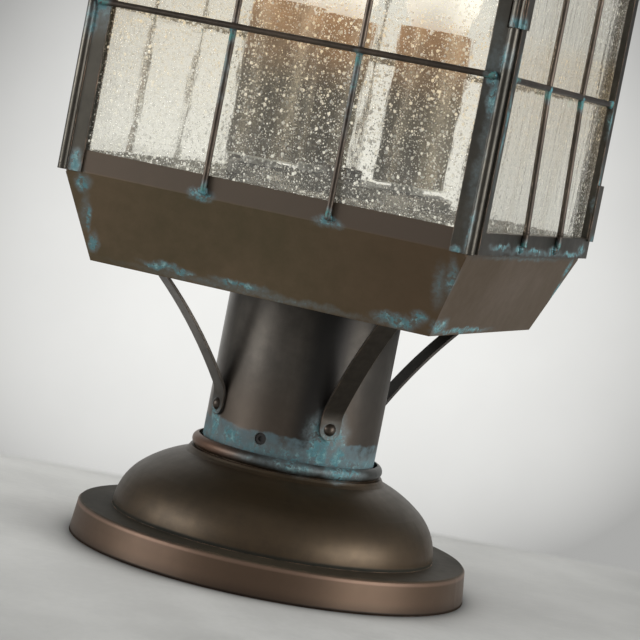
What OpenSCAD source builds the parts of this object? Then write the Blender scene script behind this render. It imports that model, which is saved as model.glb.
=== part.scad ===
// Pedestal lantern: a square wire-grid lantern with a hinged glass door, carried on a
// fitter sleeve that slides over a stub post, with a spun cover hiding the post's fixing plate.
// Millimetres, +Z up. The origin is the centre of the face that rests on the pier.
// The front pane faces -Y and the door faces +X.

/* [Fixing plate and stub post] */
// Diameter of the steel fixing plate
plate_d = 150; // [132:1:170]
// Thickness of the fixing plate
plate_t = 4; // [3:0.5:8]
// Circle on which the anchor holes lie
anchor_pcd = 120; // [100:1:130]
// Diameter of an anchor hole
anchor_hole_d = 7; // [5:0.5:10]
// Number of anchor holes
anchor_n = 4; // [3:1:6]
// Outside diameter of the stub post
stub_d = 76.2; // [70:0.1:78]
// Wall of the stub post
stub_wall = 2.6; // [1.5:0.1:6]
// Height of the stub post's top above the pier
stub_top = 112; // [85:1:116]

/* [Spun cover] */
// Radius of the rim where it meets the pier
rim_r = 93.8; // [90:0.1:100]
// Amount that the rim draws in at its top
rim_draft = 1.7; // [0.5:0.1:3]
// Height of the rim
rim_h = 15.4; // [12:0.1:18]
// Width of the flat ledge between the rim and the dome
ledge_w = 15.8; // [12:0.1:17]
// Thickness of the cover's wall
cover_wall = 2.5; // [1.5:0.1:3]
// Radius of the dome's tight lower curve
dome_shoulder_r = 27; // [24:0.5:29]
// Angle that the tight lower curve turns through
dome_shoulder_angle = 50; // [46:2:52]
// Radius of the dome's shallow upper curve
dome_crown_r = 57.5; // [54:0.5:62]
// Outside radius of the soft lip round the neck
lip_r = 46.3; // [46:0.1:47]
// Height of the soft lip
lip_h = 1.4; // [1:0.1:2]
// Depth of the groove under the bead
neck_groove = 2; // [1.5:0.1:2.4]
// Height of the groove under the bead
neck_groove_h = 0.8; // [0.6:0.1:1.5]
// Outside radius of the rolled bead
bead_r = 45.2; // [44.8:0.1:46]
// Section radius of the rolled bead
bead_section_r = 3.1; // [3:0.1:3.6]
// Gap between the bead and the fitter sleeve
bead_gap = 1.8; // [1.5:0.1:2]

/* [Fitter sleeve] */
// Outside diameter of the sleeve
sleeve_d = 81.4; // [81:0.1:82]
// Gap between the sleeve's bore and the stub post
sleeve_slip = 0.8; // [0.3:0.1:1.2]
// Height of the sleeve's lower edge, which sits on the cover's neck
sleeve_z = 50; // [49:0.1:51]
// Height of the set screws
screw_z = 62; // [60.5:0.1:66]
// Diameter of a set screw
screw_d = 5.4; // [4:0.1:6]
// Gap round a set screw in its hole
screw_gap = 0.1; // [0.05:0.01:0.2]
// Depth that a set screw's end is sunk below the sleeve
screw_sink = 0.7; // [0.3:0.1:1.2]
// Number of set screws
screw_n = 3; // [1:1:3]

/* [Brace straps] */
// Angle of each strap from the lantern's front-to-back line
brace_angle = 43; // [40:0.5:48]
// How far the front left brace stands round towards the front
brace_turn = 2.5; // [0:0.5:4]
// Width of a strap
brace_w = 10; // [8:0.1:13]
// Thickness of a strap
brace_t = 1.3; // [1.2:0.1:2]
// Height of the rivet in a strap's foot
brace_rivet_z = 72; // [70:0.5:74]
// Height of the straight foot above its rivet
brace_foot_h = 4; // [2:0.5:6]
// Radius of the bend just above the foot
brace_bend_r = 10; // [8:1:14]
// Angle of the bend just above the foot
brace_bend_angle = 33; // [30:0.5:36]
// Radius of the long sweep up to the tray
brace_sweep_r = 235; // [220:1:280]
// Radius of the bend into the top tab
brace_tab_bend_r = 5; // [4:0.5:8]
// Length of the flat tab under the tray
brace_tab_l = 13; // [11:0.5:16]
// Diameter of a rivet's shank
rivet_d = 3; // [2:0.1:4]
// Gap round a rivet's shank
rivet_gap = 0.05; // [0.02:0.01:0.1]
// Diameter of a rivet's domed head
rivet_head_d = 5.8; // [5:0.1:7]
// Height of a rivet's domed head
rivet_head_h = 1.9; // [1.2:0.1:2.4]

/* [Tray] */
// Height of the tray's underside
tray_z = 127.8; // [126:0.1:131]
// How far the tray's floor is let in above its lower edge
floor_lift = 5; // [4.4:0.1:8]
// Width of the tray's square floor
tray_floor_w = 162; // [155:0.5:170]
// Height of the sloping sides
tray_slope_h = 38.6; // [34:0.1:42]
// Height of the upright band above the sloping sides
band_h = 9.9; // [8:0.1:12]
// Width of the lantern over the bands
body_w = 190; // [186:0.5:196]
// Thickness of the sheet
sheet_t = 1.2; // [0.8:0.1:1.5]

/* [Window frame] */
// Height of one row of the rod grid
row_h = 65.5; // [60:0.5:72]
// Number of rows in the rod grid
row_n = 3; // [2:1:4]
// Thickness of a corner post's outer leg
leg_t = 1; // [0.6:0.1:1.4]
// Width of a corner post's outer leg
post_leg_w = 9.2; // [8:0.1:12]
// Radius of the corner tubes
tube_r = 2.2; // [1.9:0.1:2.3]
// How far each corner tube's axis stands in from the legs' faces
tube_inset = 0.1; // [-0.1:0.1:0.5]
// Thickness of the inner leg that holds the glass
retainer_t = 1.2; // [0.8:0.1:1.5]
// How far a post hangs down over the tray's fold
post_drop = 0.2; // [0:0.1:1]

/* [Glass] */
// Thickness of a pane
glass_t = 3; // [2.5:0.1:3.2]
// Gap between a pane and the band in front of it
glass_gap = 0.2; // [0.1:0.05:0.3]
// Gap at each edge of a pane
glass_edge_gap = 0.2; // [0.1:0.05:0.5]

/* [Rod grid] */
// Diameter of the grid's rods
rod_d = 2.8; // [2.2:0.1:3.2]
// Distance of the upright rods from the middle of a window
bar_x = 29.4; // [26:0.1:32]
// How far the upright rods of the front and back stand off centre
bar_shift = 1.7; // [-2:0.1:2]
// Length of rod that laps over each post
bar_lap = 5.6; // [3:0.1:7]
// Length of the upright rods that laps over each band
bar_foot = 7; // [4:0.1:8.5]
// Length of the door's upright rods that laps over each rail
door_bar_foot = 5; // [3:0.1:8]
// Radius of the brazed lump where two of the door's rods meet
braze_r = 1.7; // [1.6:0.1:2]
// How far the door's upright rods bow in towards the glass
door_bar_bow = 2.9; // [2:0.1:3]

/* [Door] */
// Depth of the door frame's channel
door_t = 7.3; // [7:0.1:7.5]
// How far the door's face stands out from the sides
door_proud = 3.8; // [3.6:0.1:4]
// Width of the door's stiles
stile_w = 6.4; // [5.5:0.1:8]
// Gap between the door and the corner tubes
door_gap = 0.5; // [0.4:0.05:0.8]
// Gap between the shut door and its stops
door_stop_gap = 0.3; // [0.2:0.05:0.5]
// Gap above and below the door
door_end_gap = 0.3; // [0.2:0.05:0.6]
// Depth of the groove that holds the door's glass
door_groove = 3; // [2:0.1:4]
// Thickness of the lip behind the door's glass
door_back_lip = 0.9; // [0.7:0.1:1.2]
// Play of the glass in its groove
door_glass_play = 0.1; // [0.05:0.05:0.2]

/* [Hinge and catch] */
// Radius of the hinge pin
pin_r = 1.25; // [1:0.05:1.4]
// Gap between the pin and the tube that holds it
pin_hold_gap = 0.03; // [0.02:0.01:0.06]
// Running gap between the pin and a knuckle
knuckle_run_gap = 0.08; // [0.04:0.01:0.1]
// Radius of a knuckle
knuckle_r = 2.7; // [2.5:0.1:2.8]
// Length of a knuckle
knuckle_l = 27.4; // [20:0.2:32]
// Height of the lowest knuckle
knuckle_low_z = 175.2; // [170:0.1:180]
// Gap between a knuckle and the next tube
knuckle_end_gap = 0.3; // [0.2:0.05:0.4]
// Thickness of a knuckle's leaf
leaf_t = 1; // [0.6:0.1:1.5]
// Width of the seam where a knuckle is rolled shut
seam_w = 1.4; // [0.6:0.1:1.6]
// Depth of that seam
seam_depth = 0.8; // [0.3:0.1:0.9]
// Width of a knuckle's leaf on the door's stile
leaf_w = 9; // [6:0.1:9.5]
// Room round a knuckle in its corner post
knuckle_room = 0.5; // [0.3:0.05:0.8]
// Length of the pins beyond each end of the catch
catch_pin_hold = 10; // [6:0.5:20]

/* [Lamp cluster] */
// Height of the cluster pan's top
pan_z = 183.4; // [181:0.2:186]
// Radius of the cluster pan
pan_r = 52; // [48:0.5:56]
// Depth of the cluster pan's skirt
pan_skirt = 6; // [5:0.5:9]
// Outside diameter of a candle sleeve
candle_d = 33.3; // [30:0.1:35]
// Wall of a candle sleeve
candle_wall = 1.2; // [0.8:0.1:1.5]
// Height of a candle sleeve
candle_h = 71; // [66:0.5:74]
// Distance of the single candle from the stem
candle_right = 32.5; // [30:0.1:34]
// Distance of the pair of candles behind the stem
candle_left = 27.5; // [25:0.1:30]
// Half the distance between the pair of candles
candle_pair = 34.6; // [30:0.1:35.5]
// Radius of the neck that a lampholder stands on
holder_neck_r = 7.4; // [6:0.1:9]
// Height of the neck that a lampholder stands on
holder_neck_h = 3; // [2:0.2:4]
// Thickness of the flange that carries a candle sleeve
holder_flange_t = 0.8; // [0.6:0.1:1.2]
// How far the flange reaches beyond the candle sleeve
holder_flange_out = 0.3; // [0:0.1:0.6]
// Radius of a lampholder
holder_r = 13; // [11:0.1:14]
// Height of a lampholder above its flange
holder_h = 58; // [50:0.5:62]
// Radius of a lamp's cap
cap_r = 6.9; // [6:0.1:7.5]
// Gap round a lamp's cap
cap_gap = 0.25; // [0.1:0.05:0.3]
// Length of a lamp's cap
cap_l = 26; // [22:0.5:30]
// Radius of a lamp's glass at its widest
lamp_r = 17.5; // [15:0.1:18.5]
// Length of a lamp's glass
lamp_l = 84; // [74:0.5:90]
// Radius of the stem
stem_r = 5; // [4:0.1:6]
// Radius of the wire way through the stem
stem_bore_r = 3.5; // [2.5:0.1:3.8]
// Width of a nut across its flats
nut_w = 17; // [14:0.5:19]
// Thickness of a nut
nut_h = 5.5; // [4:0.1:6]

/* [Roof] */
// How far the eaves reach beyond the window frame
eave_out = 18; // [12:0.5:26]
// Height of the upright drip edge at the eaves
drip_h = 7; // [5:0.5:12]
// Height of the roof's slope
roof_rise = 56; // [45:1:70]
// Width of the flat top of the roof
roof_top_w = 66; // [62:1:80]
// Width of the hole under the roof
roof_hole_w = 168; // [150:1:176]
// Radius of the vent's drum
vent_r = 27; // [24:0.5:29]
// Height of the vent's drum
vent_h = 26; // [20:0.5:34]
// Number of slots in the vent
vent_n = 10; // [6:1:14]
// Width of a slot in the vent
vent_slot_w = 5; // [3:0.5:7]
// Radius of the vent's cap
cap_roof_r = 41; // [36:0.5:48]
// Height of the cap's dome
cap_roof_h = 16; // [12:0.5:20]
// Radius of the finial's ball
finial_ball_r = 8; // [6:0.1:10]

/* [Hidden] */

$fn = 96;
eps = 0.01;
cut = 1;

// Heights of the body, all carried up from the tray
floor_z = tray_z + floor_lift;
fold_z = tray_z + tray_slope_h;
window_z = fold_z + band_h;
window_h = row_h * row_n;
window_top_z = window_z + window_h;
frame_top_z = window_top_z + band_h;
seat_z = frame_top_z + sheet_t;
body_mid_z = (fold_z + frame_top_z) / 2;

// Half widths of the body's faces, from the outside in
half_band = body_w / 2;
half_leg = half_band + leg_t;
half_glass_out = half_band - sheet_t - glass_gap;
half_glass_in = half_glass_out - glass_t;
half_retainer = half_glass_in - retainer_t;
half_window = half_leg - post_leg_w;
tube_axis = half_leg - tube_inset;

// The door's faces and the stops that it shuts against
door_face = half_band + door_proud;
door_back = door_face - door_t;
stop_face = door_back - door_stop_gap;
door_half_w = tube_axis - tube_r - door_gap;
door_low_z = fold_z + door_end_gap;
door_high_z = frame_top_z - door_end_gap;
door_glass_x = door_back + door_back_lip + door_glass_play;

// Radii that fit one inside another
sleeve_r = sleeve_d / 2;
stub_r = stub_d / 2;
sleeve_bore_r = stub_r + sleeve_slip;
bead_bore_r = sleeve_r + bead_gap;
bead_centre_r = bead_r - bead_section_r;
groove_r = bead_r - neck_groove;
brace_mid_r = sleeve_r + brace_t / 2;

// Corners and sides named by their angle
brace_angles = [
  270 - brace_angle + brace_turn, 270 + brace_angle, 90 - brace_angle, 90 + brace_angle
];
candle_places = [
  [candle_right, 0], [-candle_left, -candle_pair], [-candle_left, candle_pair]
];

// Points along an arc about a centre, from one angle to another
function arc_points(centre, r, from, to, steps) =
  [for (i = [0:steps]) centre + r * [cos(from + (to - from) * i / steps),
                                     sin(from + (to - from) * i / steps)]];

// FIXING PLATE AND STUB POST

module fixing_plate() {
  color("dimgray")
    difference() {
      cylinder(d = plate_d, h = plate_t);
      translate([0, 0, -cut]) cylinder(r = stub_r - 2 * stub_wall, h = plate_t + 2 * cut);
      for (i = [0:anchor_n - 1])
        rotate(45 + i * 360 / anchor_n)
          translate([anchor_pcd / 2, 0, -cut])
            cylinder(d = anchor_hole_d, h = plate_t + 2 * cut);
    }
}

module stub_post() {
  color("dimgray")
    translate([0, 0, plate_t])
      difference() {
        cylinder(r = stub_r, h = stub_top - plate_t);
        translate([0, 0, -cut])
          cylinder(r = stub_r - stub_wall, h = stub_top - plate_t + 2 * cut);
      }
}

// SPUN COVER

rim_top_r = rim_r - rim_draft;
dome_r = rim_top_r - ledge_w;
dome_centre_r = dome_r - dome_shoulder_r;
crown_centre = [
  dome_centre_r - (dome_crown_r - dome_shoulder_r) * cos(dome_shoulder_angle),
  rim_h - (dome_crown_r - dome_shoulder_r) * sin(dome_shoulder_angle)
];
lip_z = sleeve_z - neck_groove_h - lip_h;
lip_foot_r = lip_r + 1.1 * lip_h;
lip_sink = 0.2;

// Height of the crown curve at a given radius
function crown_z(r) = crown_centre.y + sqrt(pow(dome_crown_r, 2) - pow(r - crown_centre.x, 2));

// Half section of the dome, shrunk by an inset for the hollow below it, on a straight foot
module dome_section(inset, top, foot) {
  shoulder_r = dome_shoulder_r - inset;
  tangent = [dome_centre_r, rim_h]
            + shoulder_r * [cos(dome_shoulder_angle), sin(dome_shoulder_angle)];
  intersection() {
    translate([dome_centre_r, rim_h]) circle(r = shoulder_r, $fn = 180);
    polygon([[dome_centre_r, rim_h], [dome_r + cut, rim_h],
             [dome_r + cut, tangent.y], tangent]);
  }
  intersection() {
    translate(crown_centre) circle(r = dome_crown_r - inset, $fn = 360);
    polygon([[0, rim_h], [dome_centre_r, rim_h], tangent, [tangent.x, top], [0, top]]);
  }
  translate([0, rim_h - foot]) square([dome_centre_r + shoulder_r, foot]);
}

module cover_section() {
  hollow_z = rim_h - cover_wall;
  difference() {
    union() {
      polygon([[0, 0], [rim_r, 0], [rim_top_r, rim_h - cut], [rim_top_r - cut, rim_h],
               [0, rim_h]]);
      dome_section(0, lip_z, cut);
      translate([0, rim_h - cut]) square([lip_r - 2 * lip_h, lip_z + cut + cut / 2 - rim_h]);
      polygon([[0, crown_z(lip_foot_r) - lip_sink], [lip_foot_r, crown_z(lip_foot_r) - lip_sink],
               [lip_r, lip_z + lip_sink], [lip_r - lip_h / 2, lip_z + lip_h],
               [0, lip_z + lip_h]]);
      translate([0, lip_z]) square([groove_r, lip_h + neck_groove_h + cut / 2]);
      intersection() {
        translate([bead_centre_r, sleeve_z + bead_section_r - neck_groove_h])
          circle(r = bead_section_r, $fn = 90);
        translate([bead_bore_r - cut, lip_z]) square([bead_section_r + cut, 4 * bead_section_r]);
      }
    }
    polygon([[0, -cut], [rim_r - cover_wall, -cut], [rim_r - cover_wall, 0],
             [rim_top_r - cover_wall, hollow_z], [0, hollow_z]]);
    dome_section(cover_wall, lip_z, cover_wall + cut);
    translate([0, hollow_z - cut]) square([sleeve_bore_r, 4 * rim_h]);
    translate([0, sleeve_z]) square([bead_bore_r, 4 * bead_section_r]);
  }
}

module pier_cover() {
  color("saddlebrown") rotate_extrude($fn = 180) cover_section();
}

// FITTER SLEEVE

module around_sleeve(n, first) {
  for (i = [0:n - 1]) rotate(first + i * 360 / n) children();
}

// A radial hole or shank that points outwards along +X
module radial_rod(r, from, to) {
  translate([from, 0, 0]) rotate([0, 90, 0]) cylinder(r = r, h = to - from, $fn = 32);
}

module fitter_sleeve() {
  color("darkslategray")
    difference() {
      translate([0, 0, sleeve_z]) cylinder(r = sleeve_r, h = floor_z - sleeve_z, $fn = 180);
      translate([0, 0, sleeve_z - cut])
        cylinder(r = sleeve_bore_r, h = floor_z - sleeve_z + 2 * cut, $fn = 180);
      around_sleeve(screw_n, -90)
        translate([0, 0, screw_z])
          radial_rod(screw_d / 2 + screw_gap, sleeve_bore_r - 2 * cut, sleeve_r + cut);
      for (a = brace_angles)
        rotate(a) translate([0, 0, brace_rivet_z])
          radial_rod(rivet_d / 2 + rivet_gap, sleeve_bore_r - 2 * cut, sleeve_r + cut);
    }
}

module set_screws() {
  color("black")
    around_sleeve(screw_n, -90)
      translate([0, 0, screw_z])
        difference() {
          radial_rod(screw_d / 2, stub_r - cut, sleeve_r - screw_sink);
          translate([0, 0, -screw_z]) cylinder(r = stub_r, h = stub_top, $fn = 180);
          translate([sleeve_r - 2 * screw_sink, 0, 0]) rotate([0, 90, 0])
            cylinder(d = screw_d / 2, h = 2, $fn = 6);
        }
}

// BRACE STRAPS

brace_steps = 10;
bend_z = brace_rivet_z + brace_foot_h;
bend_top = [brace_mid_r + brace_bend_r * (1 - cos(brace_bend_angle)),
            bend_z + brace_bend_r * sin(brace_bend_angle)];
tab_z = floor_z - brace_t / 2;
// The sweep leans further out as it climbs, up to the start of the tab's bend
function sweep_at(angle) =
  bend_top + brace_sweep_r * [cos(brace_bend_angle) - cos(angle),
                              sin(angle) - sin(brace_bend_angle)];
function sweep_miss(angle) =
  sweep_at(angle).y + brace_tab_bend_r * (1 - sin(angle)) - tab_z;
function sweep_end(low, high, n) =
  n == 0 ? (low + high) / 2
         : sweep_miss((low + high) / 2) > 0 ? sweep_end(low, (low + high) / 2, n - 1)
                                            : sweep_end((low + high) / 2, high, n - 1);
sweep_angle_most = 80;
sweep_angle = sweep_end(brace_bend_angle, sweep_angle_most, 30);
tab_bend = sweep_at(sweep_angle) + brace_tab_bend_r * [cos(sweep_angle), -sin(sweep_angle)];
tab_start_r = tab_bend.x;
tab_end_r = tab_start_r + brace_tab_l;
tab_rivet_r = tab_end_r - brace_w / 2;

// One side of the strap's path, a given distance outside its middle line
function brace_side(out) = concat(
  [[brace_mid_r + out, brace_rivet_z - brace_w / 2 - cut]],
  arc_points([brace_mid_r + brace_bend_r, bend_z], brace_bend_r - out,
             180, 180 - brace_bend_angle, brace_steps),
  arc_points(bend_top + brace_sweep_r * [cos(brace_bend_angle), -sin(brace_bend_angle)],
             brace_sweep_r - out, 180 - brace_bend_angle, 180 - sweep_angle, brace_steps),
  arc_points(tab_bend, brace_tab_bend_r - out, 180 - sweep_angle, 90, brace_steps),
  [[tab_end_r, tab_z - out]]
);
function reversed(list) = [for (i = [len(list) - 1:-1:0]) list[i]];

module brace(angle) {
  color("saddlebrown")
    rotate(angle)
      difference() {
        intersection() {
          translate([0, brace_w / 2, 0]) rotate([90, 0, 0])
            linear_extrude(height = brace_w)
              polygon(concat(brace_side(brace_t / 2), reversed(brace_side(-brace_t / 2))));
          union() {
            translate([0, -brace_w, brace_rivet_z]) cube([2 * tray_floor_w, 2 * brace_w, tray_z]);
            translate([0, 0, brace_rivet_z]) radial_rod(brace_w / 2, 0, tray_floor_w);
          }
        }
        translate([0, 0, brace_rivet_z])
          radial_rod(rivet_d / 2 + rivet_gap, sleeve_r - cut, sleeve_r + 2 * brace_t);
        translate([tab_rivet_r, 0, tab_z - brace_t])
          cylinder(r = rivet_d / 2 + rivet_gap, h = 2 * brace_t, $fn = 32);
      }
}

module brace_front_left() { brace(brace_angles[0]); }
module brace_front_right() { brace(brace_angles[1]); }
module brace_rear_right() { brace(brace_angles[2]); }
module brace_rear_left() { brace(brace_angles[3]); }

// A rivet along +Z with its domed head below the origin and a shank of a given length above
module rivet(shank) {
  dome_sphere_r = (pow(rivet_head_d / 2, 2) + pow(rivet_head_h, 2)) / (2 * rivet_head_h);
  rotate_extrude($fn = 48)
    union() {
      square([rivet_d / 2, shank]);
      intersection() {
        translate([0, dome_sphere_r - rivet_head_h]) circle(r = dome_sphere_r, $fn = 90);
        translate([0, -rivet_head_h]) square([rivet_head_d, rivet_head_h]);
      }
    }
}

module brace_foot_rivets() {
  color("sienna")
    for (a = brace_angles)
      rotate(a)
        translate([sleeve_r + brace_t, 0, brace_rivet_z])
          rotate([0, -90, 0]) rivet(sleeve_r + brace_t - sleeve_bore_r - rivet_gap);
}

module brace_tab_rivets() {
  color("sienna")
    for (a = brace_angles)
      rotate(a)
        translate([tab_rivet_r, 0, tab_z - brace_t / 2]) rivet(brace_t + sheet_t);
}

// TRAY

// A square frustum with its faces square to the axes
module frustum(low_w, high_w, low_z, high_z) {
  function_side = [[-low_w / 2, low_z], [low_w / 2, low_z], [high_w / 2, high_z],
                   [-high_w / 2, high_z]];
  intersection() {
    translate([0, high_w + low_w, 0]) rotate([90, 0, 0])
      linear_extrude(height = 2 * (high_w + low_w)) polygon(function_side);
    rotate(90) translate([0, high_w + low_w, 0]) rotate([90, 0, 0])
      linear_extrude(height = 2 * (high_w + low_w)) polygon(function_side);
  }
}

// A square block about the axis
module square_block(w, low_z, high_z) {
  translate([-w / 2, -w / 2, low_z]) cube([w, w, high_z - low_z]);
}

module at_corners(r) {
  for (x = [-1, 1], y = [-1, 1]) translate([x * r, y * r, 0]) children();
}

// The upright band stands on three sides, and on the door's side it is set back as a sill
module band_ring(low_z, high_z) {
  difference() {
    translate([-half_band, -half_band, low_z])
      cube([half_band + stop_face, body_w, high_z - low_z]);
    translate([-half_band + sheet_t, -half_band + sheet_t, low_z - cut])
      cube([half_band - sheet_t + stop_face - retainer_t, body_w - 2 * sheet_t,
            high_z - low_z + 2 * cut]);
  }
}

slope_run = (body_w - tray_floor_w) / 2;
slope_wall = sheet_t * sqrt(pow(slope_run, 2) + pow(tray_slope_h, 2)) / tray_slope_h;

module tray() {
  hole_z = floor_z - cut;
  hole_h = sheet_t + 2 * cut;
  color("darkolivegreen")
    difference() {
      union() {
        difference() {
          frustum(tray_floor_w, body_w, tray_z, fold_z);
          difference() {
            frustum(tray_floor_w - 2 * slope_wall, body_w - 2 * slope_wall, tray_z, fold_z);
            square_block(body_w, floor_z, floor_z + sheet_t);
            square_block(body_w, fold_z - sheet_t, fold_z + cut);
          }
          square_block(2 * half_retainer, fold_z - 2 * sheet_t, fold_z + cut);
        }
        band_ring(fold_z - eps, window_z);
      }
      at_corners(tube_axis)
        translate([0, 0, fold_z - post_drop - cut])
          cylinder(r = tube_r + glass_edge_gap, h = band_h + 4 * cut, $fn = 48);
      translate([0, 0, hole_z]) cylinder(r = stem_r + rivet_gap, h = hole_h, $fn = 48);
      for (a = brace_angles)
        rotate(a) translate([tab_rivet_r, 0, hole_z])
          cylinder(r = rivet_d / 2 + rivet_gap, h = hole_h, $fn = 32);
    }
}

// CORNER POSTS

post_low_z = fold_z - post_drop;

// The glass-holding core, notched where the bands pass behind the outer legs
module post_core() {
  notch = half_glass_out;
  translate([half_retainer, half_retainer, fold_z])
    cube([notch - half_retainer, notch - half_retainer, frame_top_z - fold_z]);
  translate([half_retainer, half_retainer, window_z])
    cube([half_band - half_retainer, half_band - half_retainer, window_h]);
}

// One outer leg along X with the inner leg that holds the pane behind it
module post_leg() {
  translate([half_window, half_band, post_low_z])
    cube([post_leg_w, leg_t, frame_top_z - post_low_z]);
  translate([half_window, half_retainer, fold_z])
    cube([half_glass_in - half_window, retainer_t, frame_top_z - fold_z]);
}

module corner_tube(low_z, high_z) {
  translate([tube_axis, tube_axis, low_z]) cylinder(r = tube_r, h = high_z - low_z, $fn = 64);
}

module pin_bore() {
  translate([tube_axis, tube_axis, post_low_z - cut])
    cylinder(r = pin_r + pin_hold_gap, h = frame_top_z - post_low_z + 2 * cut, $fn = 48);
}

// A plain post, drawn at +X +Y
module plain_post() {
  difference() {
    union() {
      post_core();
      post_leg();
      mirror([1, -1, 0]) post_leg();
      corner_tube(post_low_z, frame_top_z);
    }
    pin_bore();
  }
}

knuckle_mid_z = body_mid_z + 2;
knuckle_low = [knuckle_low_z, knuckle_low_z + knuckle_l];
knuckle_high = [2 * body_mid_z - knuckle_low[1], 2 * body_mid_z - knuckle_low[0]];
knuckle_catch = [knuckle_mid_z - knuckle_l / 2, knuckle_mid_z + knuckle_l / 2];

// Room for a knuckle that turns or leaves
module knuckle_pocket(span) {
  translate([tube_axis, tube_axis, span[0] - knuckle_end_gap])
    cylinder(r = knuckle_r + knuckle_room, h = span[1] - span[0] + 2 * knuckle_end_gap, $fn = 64);
}

// A door-side post, drawn at +X +Y: one outer leg, a stop behind the door and no outer leg there
module door_post(tube_spans, knuckle_spans) {
  difference() {
    union() {
      intersection() {
        post_core();
        cube([stop_face, body_w, 2 * frame_top_z]);
      }
      post_leg();
      translate([stop_face - retainer_t, half_window, window_z])
        cube([retainer_t, half_retainer - half_window + eps, window_h]);
      for (s = tube_spans) corner_tube(s[0], s[1]);
    }
    pin_bore();
    for (s = knuckle_spans) knuckle_pocket(s);
    for (z = [fold_z - cut, window_top_z])
      translate([stop_face - retainer_t, 0, z]) cube([retainer_t, half_band, band_h + cut]);
    translate([door_back - door_stop_gap, 0, fold_z - 4 * cut])
      cube([2 * tube_r + door_proud, door_half_w, frame_top_z]);
  }
}

module post_front_left() { color("saddlebrown") rotate(180) plain_post(); }
module post_rear_left() { color("saddlebrown") rotate(90) plain_post(); }
module hinge_post() {
  color("saddlebrown")
    door_post([[knuckle_low[1] + knuckle_end_gap, knuckle_high[0] - knuckle_end_gap]],
              [knuckle_low, knuckle_high]);
}
module catch_post() {
  color("saddlebrown")
    mirror([0, 1, 0])
      door_post([[post_low_z, knuckle_catch[0] - knuckle_end_gap],
                 [knuckle_catch[1] + knuckle_end_gap, frame_top_z]],
                [knuckle_catch]);
}

// GLASS

pane_half_w = half_retainer - glass_edge_gap;
pane_low_z = fold_z + glass_edge_gap;
pane_high_z = frame_top_z - glass_edge_gap;

// The pane at the back, at +Y
module pane() {
  translate([-pane_half_w, half_glass_in, pane_low_z])
    cube([2 * pane_half_w, glass_t, pane_high_z - pane_low_z]);
}

module front_glass() { color("whitesmoke", 0.4) rotate(180) pane(); }
module rear_glass() { color("whitesmoke", 0.4) pane(); }
module left_glass() { color("whitesmoke", 0.4) rotate(90) pane(); }

// ROD GRID

row_zs = [for (i = [1:row_n - 1]) window_z + i * row_h];
grid_low_z = window_z - bar_foot;
grid_high_z = window_top_z + bar_foot;

rod_r = rod_d / 2;

module upright_rod(low_z, high_z) {
  translate([0, 0, low_z]) cylinder(r = rod_r, h = high_z - low_z, $fn = 48);
}

// The grid on the back, at +Y, with its uprights moved sideways by a given amount
module grid(shift) {
  lap = half_window + bar_lap;
  for (z = row_zs)
    translate([-lap, half_leg + rod_r, z]) rotate([0, 90, 0])
      cylinder(r = rod_r, h = 2 * lap, $fn = 48);
  for (x = [-bar_x, bar_x])
    translate([x + shift, half_band + rod_r, 0]) upright_rod(grid_low_z, grid_high_z);
}

module front_grid() { color("sienna") rotate(180) grid(-bar_shift); }
module rear_grid() { color("sienna") grid(bar_shift); }
module left_grid() { color("sienna") rotate(90) grid(0); }

// TOP FRAME

module top_frame() {
  color("saddlebrown")
    difference() {
      union() {
        band_ring(window_top_z, frame_top_z + eps);
        square_block(body_w, frame_top_z, seat_z);
      }
      square_block(2 * half_retainer - 2 * retainer_t, frame_top_z - cut, seat_z + cut);
      at_corners(tube_axis)
        translate([0, 0, window_top_z - cut])
          cylinder(r = tube_r + glass_edge_gap, h = band_h + cut, $fn = 48);
    }
}

// DOOR

module door_ring(half_w, low_z, high_z, back, face) {
  translate([back, -half_w, low_z]) cube([face - back, 2 * half_w, high_z - low_z]);
}

module door_frame() {
  rail_low = window_z - door_low_z;
  rail_high = door_high_z - window_top_z;
  inner_half_w = door_half_w - stile_w;
  color("saddlebrown")
    difference() {
      door_ring(door_half_w, door_low_z, door_high_z, door_back, door_face);
      door_ring(inner_half_w, door_low_z + rail_low, door_high_z - rail_high,
                door_back - cut, door_face + cut);
      door_ring(inner_half_w + door_groove, window_z - door_groove,
                window_top_z + door_groove,
                door_back + door_back_lip, door_glass_x + glass_t + door_glass_play);
      for (y = [-tube_axis, tube_axis])
        translate([tube_axis, y, door_low_z - cut])
          cylinder(r = knuckle_r, h = door_high_z, $fn = 64);
    }
}

module door_glass() {
  half_w = door_half_w - stile_w + door_groove - glass_edge_gap;
  color("whitesmoke", 0.4)
    translate([door_glass_x, -half_w, window_z - door_groove + door_glass_play])
      cube([glass_t, 2 * half_w, window_h + 2 * door_groove - 2 * glass_edge_gap]);
}

// One leaning length of rod between two points in the plane of an upright
module leaning_rod(from, to) {
  run = to - from;
  translate([from.x, 0, from.y]) rotate([0, atan2(run.x, run.y), 0])
    cylinder(r = rod_r, h = norm(run), $fn = 48);
}

// The uprights lap over the rails and bow in between them to meet the cross rods
module door_grid() {
  out_x = door_face + rod_r;
  in_x = out_x - door_bar_bow;
  low = window_z + 1.5;
  high = window_top_z - 1.5;
  first = row_zs[0];
  last = row_zs[len(row_zs) - 1];
  half_w = door_half_w - stile_w;
  color("sienna") {
    for (y = [-bar_x, bar_x])
      translate([0, y, 0]) {
        translate([out_x, 0, 0]) upright_rod(window_z - door_bar_foot, low);
        translate([in_x, 0, 0]) upright_rod(first, last);
        translate([out_x, 0, 0]) upright_rod(high, window_top_z + door_bar_foot);
        leaning_rod([out_x, low], [in_x, first]);
        leaning_rod([in_x, last], [out_x, high]);
        for (p = [[out_x, low], [in_x, first], [in_x, last], [out_x, high]])
          translate([p.x, 0, p.y]) sphere(r = braze_r, $fn = 48);
      }
    for (z = row_zs)
      translate([in_x, half_w, z]) rotate([90, 0, 0])
        cylinder(r = rod_r, h = 2 * half_w, $fn = 48);
  }
}

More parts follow.
